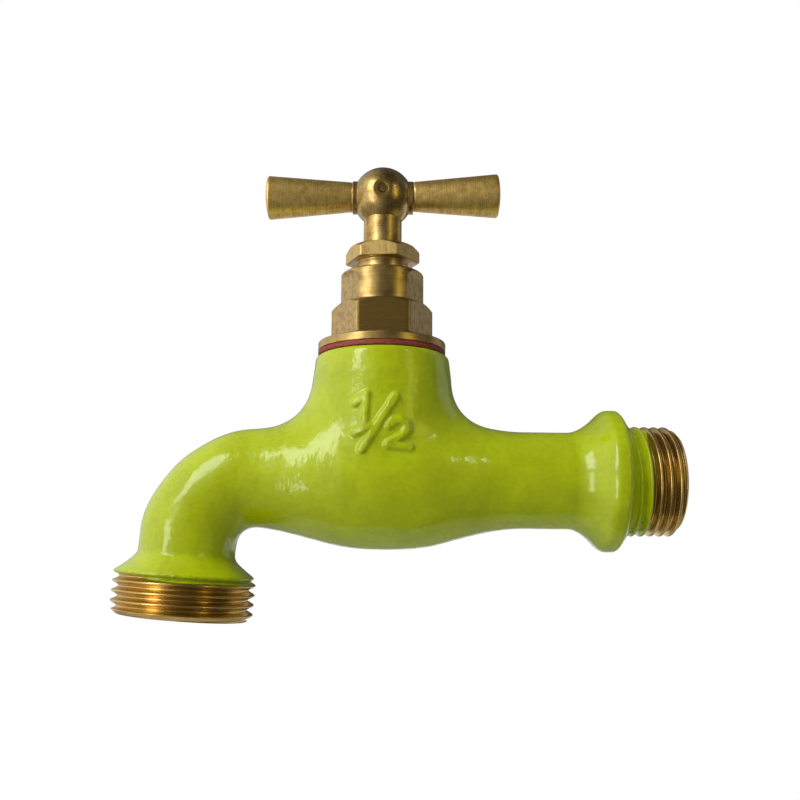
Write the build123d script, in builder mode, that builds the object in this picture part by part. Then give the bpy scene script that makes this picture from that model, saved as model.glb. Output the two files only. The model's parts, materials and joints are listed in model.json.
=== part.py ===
from build123d import *
import os
from math import cos, radians, sin, sqrt

# A screw-down garden tap with a threaded wall inlet and a threaded hose outlet.
# Millimetres, +Z up. The origin is on the inlet axis where the wall thread starts, with the wall
# towards +X. The valve stands on a vertical axis further out, and the spout turns down at the far end.

# Clearances all round: where pieces turn or slide, and where they are screwed or pressed together
running_clearance = 0.05
fit_gap = 0.05

# Pipe threads, drawn as one closed ring for each turn
pipe_pitch = 25.4 / 14
pipe_depth = 1.162
land = 0.35
inlet_major_r = 20.955 / 2
inlet_turns = 4
inlet_thread_length = 7.6
outlet_major_r = 26.441 / 2
outlet_turns = 4
outlet_first_crest = 1.72
outlet_face_r = 12.1

# Casting
valve_to_thread = 48.7
tube_r = 9.25
wall = 2.35
belly_r = 13.65
belly_end = 27.0
collar_r = 13.6
collar_width = 2.6
collar_flare = 6.4
collar_back = 3.2
collar_round = 1.4
flare_round = 9.0
elbow_start = 24.6
bend_r = 11.4
outlet_lean = 4.3
spout_drop = 15.6
skirt_r = 13.5
skirt_height = 7.5
skirt_rise = 3.9
skirt_round = 2.5
neck_top = 23.7
neck_top_r = 12.85
neck_draft = 0.35
neck_inset = 0.45
neck_fillet = 6.0
neck_edge = 0.4
outlet_counterbore_r = 9.6
outlet_counterbore_depth = 5.5

# Valve seat and the two chambers that it parts
seat_z = 2.4
seat_bore_r = 5.4
seat_rim_r = 7.0
bridge_top = 1.2
bridge_thickness = 2.2
chamber_r = 9.5
divider_x = 8.2
divider_thickness = 2.0
inlet_stop = 11.6
inlet_overlap = 1.4

# Bonnet, which screws into the neck on a fibre gasket
gasket_r = 12.45
gasket_thickness = 1.05
spigot_r = 10.1
spigot_length = 7.0
spigot_pitch = 1.5
spigot_depth = 0.9
spigot_relief = 1.2
thread_runout = 0.8
flange_r = 12.4
flange_height = 1.55
flange_slope = 0.5
hex_flats = 17.3
hex_top = 33.7
hex_edge = 0.3
block_r = 8.1
block_flat = 7.35
block_top = 40.2
block_round = 0.35
floor_z = 32.2
floor_thickness = 1.3
block_flat_angles = (30, 150, 210, 330)

# Gland
gland_thread_r = 5.1
packing_height = 2.8
gland_washer_height = 0.8
gland_gap = 2.4
gland_flats = 12.7
gland_head_height = 2.7
gland_turn = -8.0
gland_chamfer = 0.95
gland_clearance = 0.1

# Spindle and valve disc
stem_r = 3.78
drive_r = 5.0
drive_pitch = 2.0
drive_depth = 0.9
drive_land = 0.7
drive_length = 12.0
head_r = 6.4
head_length = 8.2
head_clearance = 0.6
valve_lift = 4.5
stop_gap = 0.1
washer_r = 6.9
washer_thickness = 3.4
plate_r = 7.0
plate_thickness = 1.4
jumper_stem_r = 2.4
jumper_stem_length = 7.0
pocket_spare = 0.6
stud_r = 2.0
stud_end = 0.5
washer_nut_flats = 7.0
washer_nut_height = 2.2

# Handle: a ball across the top of the spindle, with a tapered arm on each side
# With the valve closed, the arms stand closed_turn degrees off the barrel's line
ball_r = 6.0
ball_z = 56.3
shoulder_above_ball_foot = 0.8
boss_r = 3.25
boss_proud = 0.05
tenon_r = 2.4
tenon_top = 3.2
arm_root_r = 2.9
arm_end_r = 4.3
arm_reach = 22.8
arm_dome = 0.6
arm_edge = 0.35
stub_r = 1.7
stub_length = 3.0
pin_r = 0.8
spot_face_r = 1.8
closed_turn = -1.0

# Places worked out from the sizes above
valve_x = -valve_to_thread
valve_axis = Axis((valve_x, 0, 0), (0, 0, 1))
valve_plane = Plane((valve_x, 0, 0), x_dir=(1, 0, 0), z_dir=(0, -1, 0))
turn_angle = 90 - outlet_lean
elbow_x = valve_x - elbow_start
lean_x = sin(radians(outlet_lean))
lean_z = cos(radians(outlet_lean))
elbow_end_x = elbow_x - bend_r * sin(radians(turn_angle))
elbow_end_z = -bend_r + bend_r * cos(radians(turn_angle))
outlet_x = elbow_end_x - spout_drop * lean_x
outlet_z = elbow_end_z - spout_drop * lean_z
outlet_axis = Axis((outlet_x, 0, outlet_z), (lean_x, 0, lean_z))
elbow_plane = Plane((elbow_x, 0, 0), z_dir=(-1, 0, 0))
outlet_plane = Plane((outlet_x, 0, outlet_z), x_dir=(lean_z, 0, -lean_x), z_dir=(0, -1, 0))
bore_r = tube_r - wall
neck_foot_r = min(neck_top_r + neck_draft, belly_r - neck_inset)
flange_foot = neck_top + gasket_thickness
flange_top = flange_foot + flange_height
stuffing_floor = floor_z + floor_thickness
packing_top = stuffing_floor + packing_height
gland_foot = packing_top + gland_washer_height
gland_seat = block_top + gland_gap
gland_top = gland_seat + gland_head_height
plate_foot = seat_z + washer_thickness
spindle_foot = plate_foot + plate_thickness
head_top = spindle_foot + head_length
drive_top = head_top + drive_length
stop_z = head_top + valve_lift + stop_gap
stem_hole_r = stem_r + running_clearance
gland_bore_r = stem_r + gland_clearance
ball_foot = ball_z - sqrt(ball_r**2 - stem_r**2)
shoulder_z = ball_foot + shoulder_above_ball_foot
ball_centre = (valve_x, 0, ball_z)
handle_along = Vector(cos(radians(closed_turn)), sin(radians(closed_turn)), 0)
handle_front = Vector(sin(radians(closed_turn)), -cos(radians(closed_turn)), 0)
pin_plane = Plane(ball_centre, z_dir=handle_front)
arm_plane = Plane(ball_centre, z_dir=handle_along)
boss_face = ball_r + boss_proud
pin_end = sqrt(ball_r**2 - spot_face_r**2)
arm_rim_r = arm_end_r - arm_edge
dome_r = (arm_rim_r**2 + arm_dome**2) / (2 * arm_dome)


def crest_rings(crest_r, depth, pitch, flat, first, count):
    """Points along and out from an axis for closed ridges, from the first crest's near edge on."""
    root_r = crest_r - depth
    points = []
    for turn in range(count):
        crest = first + turn * pitch
        if turn > 0:
            points.append((crest - pitch / 2 + flat / 2, root_r))
        points.append((crest - flat / 2, crest_r))
        points.append((crest + flat / 2, crest_r))
        points.append((crest + pitch / 2 - flat / 2, root_r))
    return points


def upright(points):
    """The same points for an outline whose axis is the sketch's vertical."""
    return [(out, along) for along, out in points]


def belly(inset):
    """The barrel's outline from the elbow to the straight tube, moved inwards by inset."""
    return Spline(
        (elbow_x, tube_r - inset),
        (valve_x, belly_r - inset),
        (valve_x + belly_end, tube_r - inset),
        tangents=[(1, 0), (1, 0)],
    )


os.makedirs("parts", exist_ok=True)

# Water ways inside the casting
with BuildPart() as barrel_core:
    with BuildSketch(Plane.XZ):
        with BuildLine():
            core_line = belly(wall)
            Polyline(core_line @ 1, (valve_x + belly_end, 0), (elbow_x, 0), core_line @ 0)
        make_face()
    revolve(axis=Axis.X)

with BuildPart() as lower_chamber:
    add(barrel_core.part)
    lower_left = valve_x - divider_x + divider_thickness
    lower_right = valve_x + inlet_stop + inlet_overlap
    with BuildSketch(Plane.XZ):
        with BuildLine():
            Polyline(
                (lower_left, bridge_top - bridge_thickness),
                (lower_right, bridge_top - bridge_thickness),
                (lower_right, -belly_r),
                (lower_left, -belly_r),
                close=True,
            )
        make_face()
    extrude(amount=belly_r, both=True, mode=Mode.INTERSECT)

with BuildPart() as spout_chamber:
    add(barrel_core.part)
    with BuildSketch(Plane.XZ):
        with BuildLine():
            Polyline(
                (elbow_x, -belly_r),
                (valve_x - divider_x, -belly_r),
                (valve_x - divider_x, belly_r),
                (elbow_x, belly_r),
                close=True,
            )
        make_face()
    extrude(amount=belly_r, both=True, mode=Mode.INTERSECT)

# Spout: the elbow, the straight drop and the skirt, which the last crest of the thread runs into
with BuildPart() as spout:
    with BuildLine(Plane.XZ) as spout_line:
        JernArc((elbow_x, 0), (-1, 0), bend_r, turn_angle)
    with BuildSketch(elbow_plane):
        Circle(tube_r)
    sweep(path=spout_line.line)

    with BuildSketch(outlet_plane):
        with BuildLine():
            outlet_rings = crest_rings(
                outlet_major_r, pipe_depth, pipe_pitch, land, outlet_first_crest, outlet_turns
            )
            Polyline(
                (0, 0),
                (outlet_face_r, 0),
                *upright(outlet_rings[:-1]),
                (skirt_r, skirt_height),
                (tube_r, skirt_height + skirt_rise),
                (tube_r, spout_drop),
                (0, spout_drop),
                close=True,
            )
        make_face()
        skirt_throat = (tube_r, skirt_height + skirt_rise)
        fillet(vertices().sort_by_distance(skirt_throat)[0], skirt_round)
    revolve(axis=outlet_axis)

# Casting: barrel, wall collar and inlet thread as one turned outline, then the neck and the spout
with BuildPart() as tap_body:
    with BuildSketch(Plane.XZ):
        with BuildLine():
            outer_line = belly(0)
            flare_foot = -collar_back - collar_width - collar_flare
            inlet_rings = crest_rings(
                inlet_major_r, pipe_depth, pipe_pitch, land, land / 2, inlet_turns
            )
            Polyline(
                outer_line @ 1,
                (flare_foot, tube_r),
                (-collar_back - collar_width, collar_r),
                (-collar_back, collar_r),
                *inlet_rings,
                (inlet_thread_length, inlet_major_r - pipe_depth),
                (inlet_thread_length, 0),
                (elbow_x, 0),
                outer_line @ 0,
            )
        make_face()
        collar_corners = vertices().group_by(Axis.Y)[-1].sort_by(Axis.X)[-2:]
        fillet(collar_corners, collar_round)
        fillet(vertices().sort_by_distance((flare_foot, tube_r))[0], flare_round)
    revolve(axis=Axis.X)

    add(spout.part)

    with BuildSketch(valve_plane):
        with BuildLine():
            Polyline((0, 0), (neck_foot_r, 0), (neck_top_r, neck_top), (0, neck_top), close=True)
        make_face()
    revolve(axis=valve_axis)
    crossing = edges(Select.NEW).filter_by(GeomType.BSPLINE)
    fillet(crossing.filter_by(lambda edge: abs(edge.center().Y) > belly_r / 2), neck_fillet)
    fillet(faces().filter_by(Axis.Z).sort_by(Axis.Z)[-1].edges(), neck_edge)

    # the way in, the two chambers, the valve bore with its seat, and the way out
    with BuildSketch(Plane.XZ):
        with BuildLine():
            Polyline(
                (valve_x + inlet_stop, 0),
                (valve_x + inlet_stop, bore_r),
                (inlet_thread_length, bore_r),
                (inlet_thread_length, 0),
                close=True,
            )
        make_face()
    revolve(axis=Axis.X, mode=Mode.SUBTRACT)
    add(lower_chamber.part, mode=Mode.SUBTRACT)
    add(spout_chamber.part, mode=Mode.SUBTRACT)
    with BuildSketch(valve_plane):
        with BuildLine():
            Polyline(
                (0, bridge_top - bridge_thickness),
                (seat_bore_r, bridge_top - bridge_thickness),
                (seat_bore_r, seat_z),
                (seat_rim_r, seat_z),
                (seat_rim_r, bridge_top),
                (chamber_r, bridge_top),
                (chamber_r, neck_top - spigot_length - thread_runout),
                (spigot_r + fit_gap, neck_top - spigot_length - thread_runout),
                (spigot_r + fit_gap, neck_top),
                (0, neck_top),
                close=True,
            )
        make_face()
    revolve(axis=valve_axis, mode=Mode.SUBTRACT)
    with BuildSketch(elbow_plane):
        Circle(bore_r)
    sweep(path=spout_line.line, mode=Mode.SUBTRACT)
    with BuildSketch(outlet_plane):
        with BuildLine():
            Polyline(
                (0, 0),
                (outlet_counterbore_r, 0),
                (outlet_counterbore_r, outlet_counterbore_depth),
                (bore_r, outlet_counterbore_depth),
                (bore_r, spout_drop),
                (0, spout_drop),
                close=True,
            )
        make_face()
    revolve(axis=outlet_axis, mode=Mode.SUBTRACT)
tap_body.part.label = "tap_body"
export_step(tap_body.part, "parts/tap_body.step")

# Flat fibre ring between the neck and the bonnet
with BuildPart() as bonnet_gasket:
    with BuildSketch(Plane.XY.offset(neck_top)):
        with Locations((valve_x, 0)):
            Circle(gasket_r)
            Circle(spigot_r + fit_gap, mode=Mode.SUBTRACT)
    extrude(amount=gasket_thickness)
bonnet_gasket.part.label = "bonnet_gasket"
export_step(bonnet_gasket.part, "parts/bonnet_gasket.step")

# Bonnet: threaded spigot, flange, spanner hexagon and a round block with four forged flats
with BuildPart() as bonnet:
    spigot_foot = neck_top - spigot_length
    with BuildSketch(valve_plane):
        with BuildLine():
            spigot_turns = int((spigot_length - spigot_relief) / spigot_pitch)
            spigot_rings = crest_rings(
                spigot_r, spigot_depth, spigot_pitch, land, spigot_foot + land / 2, spigot_turns
            )
            Polyline(
                (0, spigot_foot),
                *upright(spigot_rings),
                (spigot_r - spigot_depth, neck_top),
                (spigot_r, neck_top),
                (spigot_r, flange_foot),
                (flange_r, flange_foot),
                (flange_r, flange_top),
                (hex_flats / 2, flange_top + flange_slope),
                (0, flange_top + flange_slope),
                close=True,
            )
        make_face()
    revolve(axis=valve_axis)
    with BuildSketch(Plane.XY.offset(flange_top)):
        with Locations((valve_x, 0)):
            RegularPolygon(hex_flats / 2, 6, major_radius=False)
    extrude(amount=hex_top - flange_top)
    hex_upper_edges = faces().filter_by(Axis.Z).sort_by(Axis.Z)[-1].edges()
    chamfer(hex_upper_edges, hex_edge)
    with BuildSketch(Plane.XY.offset(hex_top - hex_edge)):
        with Locations((valve_x, 0)):
            Circle(block_r)
            for side in block_flat_angles:
                with Locations(Location((0, 0), side)):
                    with Locations((block_flat + block_r, 0)):
                        Rectangle(2 * block_r, 4 * block_r, mode=Mode.SUBTRACT)
    extrude(amount=block_top - hex_top + hex_edge)
    fillet(faces().filter_by(Axis.Z).sort_by(Axis.Z)[-1].edges(), block_round)
    with BuildSketch(valve_plane):
        with BuildLine():
            Polyline(
                (0, spigot_foot),
                (head_r + head_clearance, spigot_foot),
                (head_r + head_clearance, stop_z),
                (drive_r + running_clearance, stop_z),
                (drive_r + running_clearance, floor_z),
                (stem_hole_r, floor_z),
                (stem_hole_r, stuffing_floor),
                (gland_thread_r + fit_gap, stuffing_floor),
                (gland_thread_r + fit_gap, block_top),
                (0, block_top),
                close=True,
            )
        make_face()
    revolve(axis=valve_axis, mode=Mode.SUBTRACT)
bonnet.part.label = "bonnet"
export_step(bonnet.part, "parts/bonnet.step")

# Stuffing box: a packing ring, the washer that keeps it from twisting, and the gland nut above
with BuildPart() as gland_packing:
    with BuildSketch(Plane.XY.offset(stuffing_floor)):
        with Locations((valve_x, 0)):
            Circle(gland_thread_r)
            Circle(stem_hole_r, mode=Mode.SUBTRACT)
    extrude(amount=packing_height)
gland_packing.part.label = "gland_packing"
export_step(gland_packing.part, "parts/gland_packing.step")

with BuildPart() as gland_washer:
    with BuildSketch(Plane.XY.offset(packing_top)):
        with Locations((valve_x, 0)):
            Circle(gland_thread_r)
            Circle(gland_bore_r, mode=Mode.SUBTRACT)
    extrude(amount=gland_washer_height)
gland_washer.part.label = "gland_washer"
export_step(gland_washer.part, "parts/gland_washer.step")

with BuildPart() as gland_nut:
    with BuildSketch(Plane.XY.offset(gland_foot)):
        with Locations((valve_x, 0)):
            Circle(gland_thread_r)
    extrude(amount=gland_seat - gland_foot)
    with BuildSketch(Plane.XY.offset(gland_seat)):
        with Locations((valve_x, 0)):
            RegularPolygon(gland_flats / 2, 6, major_radius=False, rotation=gland_turn)
    extrude(amount=gland_head_height)
    with BuildSketch(valve_plane):
        with BuildLine():
            corner_r = gland_flats / 2 + gland_chamfer
            Polyline(
                (0, gland_foot),
                (corner_r, gland_foot),
                (corner_r, gland_top - gland_chamfer),
                (corner_r - gland_chamfer, gland_top),
                (0, gland_top),
                close=True,
            )
        make_face()
    revolve(axis=valve_axis, mode=Mode.INTERSECT)
    with Locations((valve_x, 0, gland_top)):
        Hole(gland_bore_r)
gland_nut.part.label = "gland_nut"
export_step(gland_nut.part, "parts/gland_nut.step")

# Spindle: driving head with its pocket, operating thread, polished stem and a tenon for the ball
with BuildPart() as spindle:
    with BuildSketch(valve_plane):
        with BuildLine():
            drive_turns = int(drive_length / drive_pitch)
            drive_rings = crest_rings(
                drive_r, drive_depth, drive_pitch, drive_land, head_top + drive_land / 2, drive_turns
            )
            Polyline(
                (0, spindle_foot),
                (head_r, spindle_foot),
                (head_r, head_top),
                *upright(drive_rings),
                (drive_r - drive_depth, drive_top),
                (stem_r, drive_top),
                (stem_r, shoulder_z),
                (tenon_r, shoulder_z),
                (tenon_r, ball_z + tenon_top),
                (0, ball_z + tenon_top),
                close=True,
            )
        make_face()
    revolve(axis=valve_axis)
    with BuildSketch(Plane.XY.offset(spindle_foot)):
        with Locations((valve_x, 0)):
            Circle(jumper_stem_r + running_clearance)
    extrude(amount=jumper_stem_length + pocket_spare, mode=Mode.SUBTRACT)
    with BuildSketch(pin_plane):
        Circle(pin_r + fit_gap)
    extrude(amount=ball_r, both=True, mode=Mode.SUBTRACT)
spindle.part.label = "spindle"
export_step(spindle.part, "parts/spindle.step")

# Valve disc: jumper, rubber washer and the nut that holds the washer up
with BuildPart() as valve_jumper:
    with BuildSketch(valve_plane):
        with BuildLine():
            stud_foot = seat_z - washer_nut_height - stud_end
            Polyline(
                (0, stud_foot),
                (stud_r, stud_foot),
                (stud_r, plate_foot),
                (plate_r, plate_foot),
                (plate_r, spindle_foot),
                (jumper_stem_r, spindle_foot),
                (jumper_stem_r, spindle_foot + jumper_stem_length),
                (0, spindle_foot + jumper_stem_length),
                close=True,
            )
        make_face()
    revolve(axis=valve_axis)
valve_jumper.part.label = "valve_jumper"
export_step(valve_jumper.part, "parts/valve_jumper.step")

with BuildPart() as valve_washer:
    with BuildSketch(Plane.XY.offset(seat_z)):
        with Locations((valve_x, 0)):
            Circle(washer_r)
            Circle(stud_r + fit_gap, mode=Mode.SUBTRACT)
    extrude(amount=washer_thickness)
valve_washer.part.label = "valve_washer"
export_step(valve_washer.part, "parts/valve_washer.step")

with BuildPart() as washer_nut:
    with BuildSketch(Plane.XY.offset(seat_z)):
        with Locations((valve_x, 0)):
            RegularPolygon(washer_nut_flats / 2, 6, major_radius=False)
            Circle(stud_r + fit_gap, mode=Mode.SUBTRACT)
    extrude(amount=-washer_nut_height)
washer_nut.part.label = "washer_nut"
export_step(washer_nut.part, "parts/washer_nut.step")

# Handle ball: a boss on each side for the arms, a socket below for the spindle, a hole for the pin
with BuildPart() as handle_hub:
    with Locations(ball_centre):
        Sphere(ball_r)
    with BuildSketch(arm_plane):
        Circle(boss_r)
    extrude(amount=boss_face, both=True)
    with BuildSketch(pin_plane):
        Circle(2 * ball_r)
    extrude(amount=pin_end, both=True, mode=Mode.INTERSECT)
    for side in (-1, 1):
        with BuildSketch(arm_plane.offset(side * boss_face)):
            Circle(stub_r + fit_gap)
        extrude(amount=-side * stub_length, mode=Mode.SUBTRACT)
    with BuildSketch(Plane.XY.offset(ball_z - ball_r)):
        with Locations((valve_x, 0)):
            Circle(stem_r + fit_gap)
    extrude(amount=shoulder_z - ball_z + ball_r, mode=Mode.SUBTRACT)
    with BuildSketch(Plane.XY.offset(shoulder_z)):
        with Locations((valve_x, 0)):
            Circle(tenon_r + fit_gap)
    extrude(amount=ball_z + tenon_top - shoulder_z, mode=Mode.SUBTRACT)
    with BuildSketch(pin_plane):
        Circle(pin_r + fit_gap)
    extrude(amount=ball_r, both=True, mode=Mode.SUBTRACT)
handle_hub.part.label = "handle_hub"
export_step(handle_hub.part, "parts/handle_hub.step")

# Tapered arms with a stub in the boss and a slightly domed end
for side, side_name in ((-1, "left"), (1, "right")):
    with BuildPart() as handle_arm:
        with BuildSketch(Plane(ball_centre, x_dir=handle_along * side, z_dir=handle_front * side)):
            with BuildLine():
                Polyline(
                    (boss_face - stub_length, 0),
                    (boss_face - stub_length, stub_r),
                    (boss_face, stub_r),
                    (boss_face, arm_root_r),
                    (arm_reach - arm_edge, arm_end_r),
                    (arm_reach, arm_rim_r),
                )
                RadiusArc((arm_reach, arm_rim_r), (arm_reach + arm_dome, 0), dome_r)
                Line((arm_reach + arm_dome, 0), (boss_face - stub_length, 0))
            make_face()
        revolve(axis=Axis(ball_centre, handle_along * side))
    handle_arm.part.label = f"handle_arm_{side_name}"
    export_step(handle_arm.part, f"parts/handle_arm_{side_name}.step")

# Cross pin through the ball and the tenon, filed flush with the two spot faces
with BuildPart() as handle_pin:
    with BuildSketch(pin_plane):
        Circle(pin_r)
    extrude(amount=pin_end, both=True)
handle_pin.part.label = "handle_pin"
export_step(handle_pin.part, "parts/handle_pin.step")
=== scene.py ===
"""A screw-down garden tap in enamelled brass, dressed over its packed construction.

Each piece is one operator. A piece's surface is worked out with numpy in metres, in the frame of the
construction: the wall thread's axis is X, the valve's axis is upright, and the outlet leans a little.
"""

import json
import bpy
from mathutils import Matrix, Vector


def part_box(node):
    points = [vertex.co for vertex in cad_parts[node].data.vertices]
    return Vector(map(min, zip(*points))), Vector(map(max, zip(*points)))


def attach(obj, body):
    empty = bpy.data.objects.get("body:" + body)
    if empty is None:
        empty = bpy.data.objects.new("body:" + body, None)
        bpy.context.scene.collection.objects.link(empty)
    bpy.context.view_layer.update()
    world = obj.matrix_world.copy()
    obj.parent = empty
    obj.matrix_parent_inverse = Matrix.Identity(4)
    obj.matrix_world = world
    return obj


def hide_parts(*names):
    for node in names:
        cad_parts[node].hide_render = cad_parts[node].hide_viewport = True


bl_info = {
    "name": "Garden tap",
    "version": (1, 0, 0),
    "blender": (4, 5, 0),
    "location": "3D View > Sidebar > Garden tap",
    "description": "Makes the casting, threads, bonnet, gland and handle of a garden tap",
    "category": "Object",
}

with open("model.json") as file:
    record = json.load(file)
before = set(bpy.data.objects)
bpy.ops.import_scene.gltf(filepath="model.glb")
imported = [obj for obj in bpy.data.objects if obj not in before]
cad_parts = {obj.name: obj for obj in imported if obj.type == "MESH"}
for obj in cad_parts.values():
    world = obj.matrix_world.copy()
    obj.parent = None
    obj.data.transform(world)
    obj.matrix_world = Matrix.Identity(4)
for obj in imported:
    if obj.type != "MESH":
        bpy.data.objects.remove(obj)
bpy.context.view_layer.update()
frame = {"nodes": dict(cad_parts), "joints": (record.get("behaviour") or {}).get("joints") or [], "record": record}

from math import cos, pi, radians, sin, sqrt, tan

import bmesh
import bpy
import numpy as np
from bpy.props import FloatProperty, FloatVectorProperty, PointerProperty
from bpy.types import Operator, Panel, PropertyGroup
from mathutils import Matrix, Vector

MM = 0.001
UP = np.array((0.0, 0.0, 1.0))
joints = {joint["name"]: joint for joint in frame["joints"]}
mounts = {mount["name"]: mount for mount in frame["record"]["mounts"]}
valve_x = joints["handle_turn"]["pos_m"][0]
arm_middle = np.mean(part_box("handle_arm_right"), axis=0)
handle_along = np.array((arm_middle[0] - valve_x, arm_middle[1], 0.0))
handle_along /= np.linalg.norm(handle_along)
handle_front = np.array((handle_along[1], -handle_along[0], 0.0))


def length(name, description, millimetres):
    """A size that a user may change, written in millimetres and kept in metres."""
    return FloatProperty(
        name=name, description=description, default=millimetres * MM, unit="LENGTH", subtype="DISTANCE"
    )


def angle(name, description, degrees):
    """An angle that a user may change, written in degrees and kept in radians."""
    return FloatProperty(
        name=name, description=description, default=radians(degrees), unit="ROTATION", subtype="ANGLE"
    )


def share(name, description, default):
    """A plain number from 0 up, such as a roughness or a strength."""
    return FloatProperty(name=name, description=description, default=default, min=0.0, subtype="FACTOR")


def colour(name, description, red, green, blue):
    """A linear colour."""
    shade = (red, green, blue)
    return FloatVectorProperty(
        name=name, description=description, default=shade, size=3, min=0.0, max=1.0, subtype="COLOR"
    )


class CastingSizes(PropertyGroup):
    """The casting's outer form."""

    tube_r: length("Tube radius", "Outer radius of the barrel and the spout", 9.25)
    belly_r: length("Belly radius", "Outer radius at the seat", 13.85)
    belly_shift: length("Belly shift", "How far the widest place lies from the valve's axis", 0.8)
    belly_wall_reach: length("Belly reach to the wall", "Where the belly ends towards the wall", 26.5)
    belly_spout_reach: length("Belly reach to the spout", "Where the belly ends towards the spout", 27.5)
    neck_top: length("Neck top", "Height of the neck's face", 23.7)
    neck_top_r: length("Neck top radius", "Radius at the neck's face", 12.87)
    neck_draft: share("Neck draft", "Growth of the neck's radius for each length down", 0.11)
    neck_draft_height: length("Neck draft height", "How far down the neck grows", 4.8)
    neck_blend: length("Neck blend", "Size of the soft hollow between neck and spout", 8.9)
    neck_wall_blend: length("Neck blend to the wall", "Size of the soft hollow towards the wall", 7.6)
    neck_shift: length("Neck shift", "How far the neck stands off the valve's axis", 0.12)
    neck_edge: length("Neck edge", "Rounding of the neck's upper edge", 1.2)
    bend_r: length("Bend radius", "Radius of the elbow's centre line", 11.4)
    spout_drop: length("Spout drop", "From the elbow's end to the outlet's face", 15.6)
    outer_dip: length("Outer dip", "How much flatter the elbow's outer side is than a true bend", 0.85)
    inner_dip: length("Inner dip", "How much thinner the spout is on its inner side", 0.45)
    inner_fill: length("Inner fill", "Size of the soft round in the elbow's inner corner", 4.3)
    collar_r: length("Collar radius", "Outer radius of the wall collar", 13.6)
    flare_start: length("Flare start", "Where the barrel starts to widen, back from the wall", 12.9)
    flare_end: length("Flare end", "Where the flare reaches the collar's rim", 6.4)
    flare_power: share("Flare power", "How hollow the flare is", 1.75)
    back_start: length("Back start", "Where the collar's rim ends", 4.4)
    back_length: length("Back length", "How long the collar's back runs out", 2.3)
    back_foot_r: length("Back foot radius", "Radius that the back runs down to", 8.9)
    collar_lean: share("Collar lean", "How far the collar leans to the wall for each length up", 0.02)
    wall_end: length("Casting end", "Where the casting's skin ends under the wall thread", -0.3)
    skirt_r: length("Skirt radius", "Radius of the skirt's rim", 13.5)
    skirt_height: length("Skirt height", "The rim's height over the outlet's face", 7.95)
    skirt_lean: share("Skirt lean", "How much the rim drops for each length outwards", 0.015)
    skirt_rise: length("Skirt rise", "Height over which the spout widens into the skirt", 3.75)
    skirt_power: share("Skirt power", "How hollow the skirt is", 1.4)
    skirt_end: length("Skirt end", "Where the casting's skin ends under the skirt", 6.6)
    water_r: length("Hidden way radius", "Radius of the casting's way, behind the threads' own bores", 7.65)
    water_depth: length("Hidden way depth", "Depth of the ways from both ends", 30.0)
    grain: length("Mesh size", "Size of the casting's faces", 0.42)


class ThreadSizes(PropertyGroup):
    """The two pipe threads."""

    wall_crest_r: length("Wall thread radius", "Crest radius of the wall thread", 10.4775)
    wall_crest_at: length("Wall crest", "Where a crest of the wall thread crosses the +Y side", 4.973)
    wall_rim_r: length("Wall rim radius", "Radius of the wall end's face", 9.15)
    wall_end: length("Wall end", "The wall end's place", 7.56)
    hose_crest_r: length("Hose thread radius", "Crest radius of the hose thread", 13.2205)
    hose_crest_at: length("Hose crest", "Height of a crest of the hose thread on the wall side", 3.082)
    hose_rim_r: length("Hose rim radius", "Radius of the outlet's face", 12.1)
    bore_r: length("Bore radius", "Radius of the water way", 6.9)
    counterbore_r: length("Counterbore radius", "Radius of the outlet's wide mouth", 9.6)
    counterbore_depth: length("Counterbore depth", "Depth of the outlet's wide mouth", 5.5)
    pitch: length("Pitch", "From crest to crest, fourteen to the inch", 25.4 / 14)


class BonnetSizes(PropertyGroup):
    """The bonnet, its fibre ring and the gland nut."""

    ring_r: length("Fibre ring radius", "Outer radius of the fibre ring", 12.42)
    ring_foot: length("Fibre ring foot", "Height of the fibre ring's lower face", 23.72)
    flange_foot: length("Flange foot", "Height of the flange's lower face", 24.75)
    flange_r: length("Flange radius", "Outer radius of the flange", 12.4)
    flange_top: length("Flange top", "Height of the flange's rim", 26.3)
    flange_slope: length("Flange slope", "How much the flange rises towards the hexagon", 0.5)
    hex_flats: length("Hexagon", "Across the spanner flats", 17.42)
    hex_top: length("Hexagon top", "Height of the hexagon's upper face", 33.7)
    block_r: length("Block radius", "Radius of the round block", 8.1)
    block_flat: length("Block flat", "From the axis to the block's forged flats", 7.35)
    block_top: length("Block top", "Height of the block's upper face", 40.2)
    gland_r: length("Gland thread radius", "Outer radius of the gland's thread", 5.1)
    gland_seat: length("Gland seat", "Height of the gland hexagon's lower face", 42.6)
    gland_flats: length("Gland flats", "Across the gland hexagon's flats", 12.9)
    gland_top: length("Gland top", "Height of the gland's upper face", 45.5)
    gland_turn: angle("Gland turn", "How far the gland hexagon is turned", -8.0)
    gland_chamfer: length("Gland chamfer", "Chamfer of the gland hexagon's corners", 0.95)
    stem_hole_r: length("Stem hole radius", "Radius of the gland's hole", 3.88)


class HandleSizes(PropertyGroup):
    """The ball, its bosses and the two arms."""

    ball_height: length("Ball height", "Height of the ball's centre", 56.3)
    ball_r: length("Ball radius", "Radius of the ball", 6.0)
    boss_r: length("Boss radius", "Radius of the bosses that carry the arms", 3.25)
    boss_face: length("Boss face", "From the ball's centre to the boss's face", 6.05)
    arm_root_r: length("Arm root radius", "Radius of an arm at its boss", 2.9)
    arm_end_r: length("Arm end radius", "Radius of an arm near its end", 4.3)
    arm_reach: length("Arm reach", "From the ball's centre to the arm's rim", 22.8)
    arm_dome: length("Arm dome", "Rise of the arm's domed end", 0.6)
    pin_r: length("Pin radius", "Radius of the cross pin", 0.8)
    arm_rise: length("Arm rise", "How far the arms' line stands over the ball's middle", 0.2)
    arm_lean: angle("Arm lean", "How far the arms' line rises towards the wall side", 0.7)
    spot_depth: length("Spot face", "From the ball's centre to its spot face", 5.7236)


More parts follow.
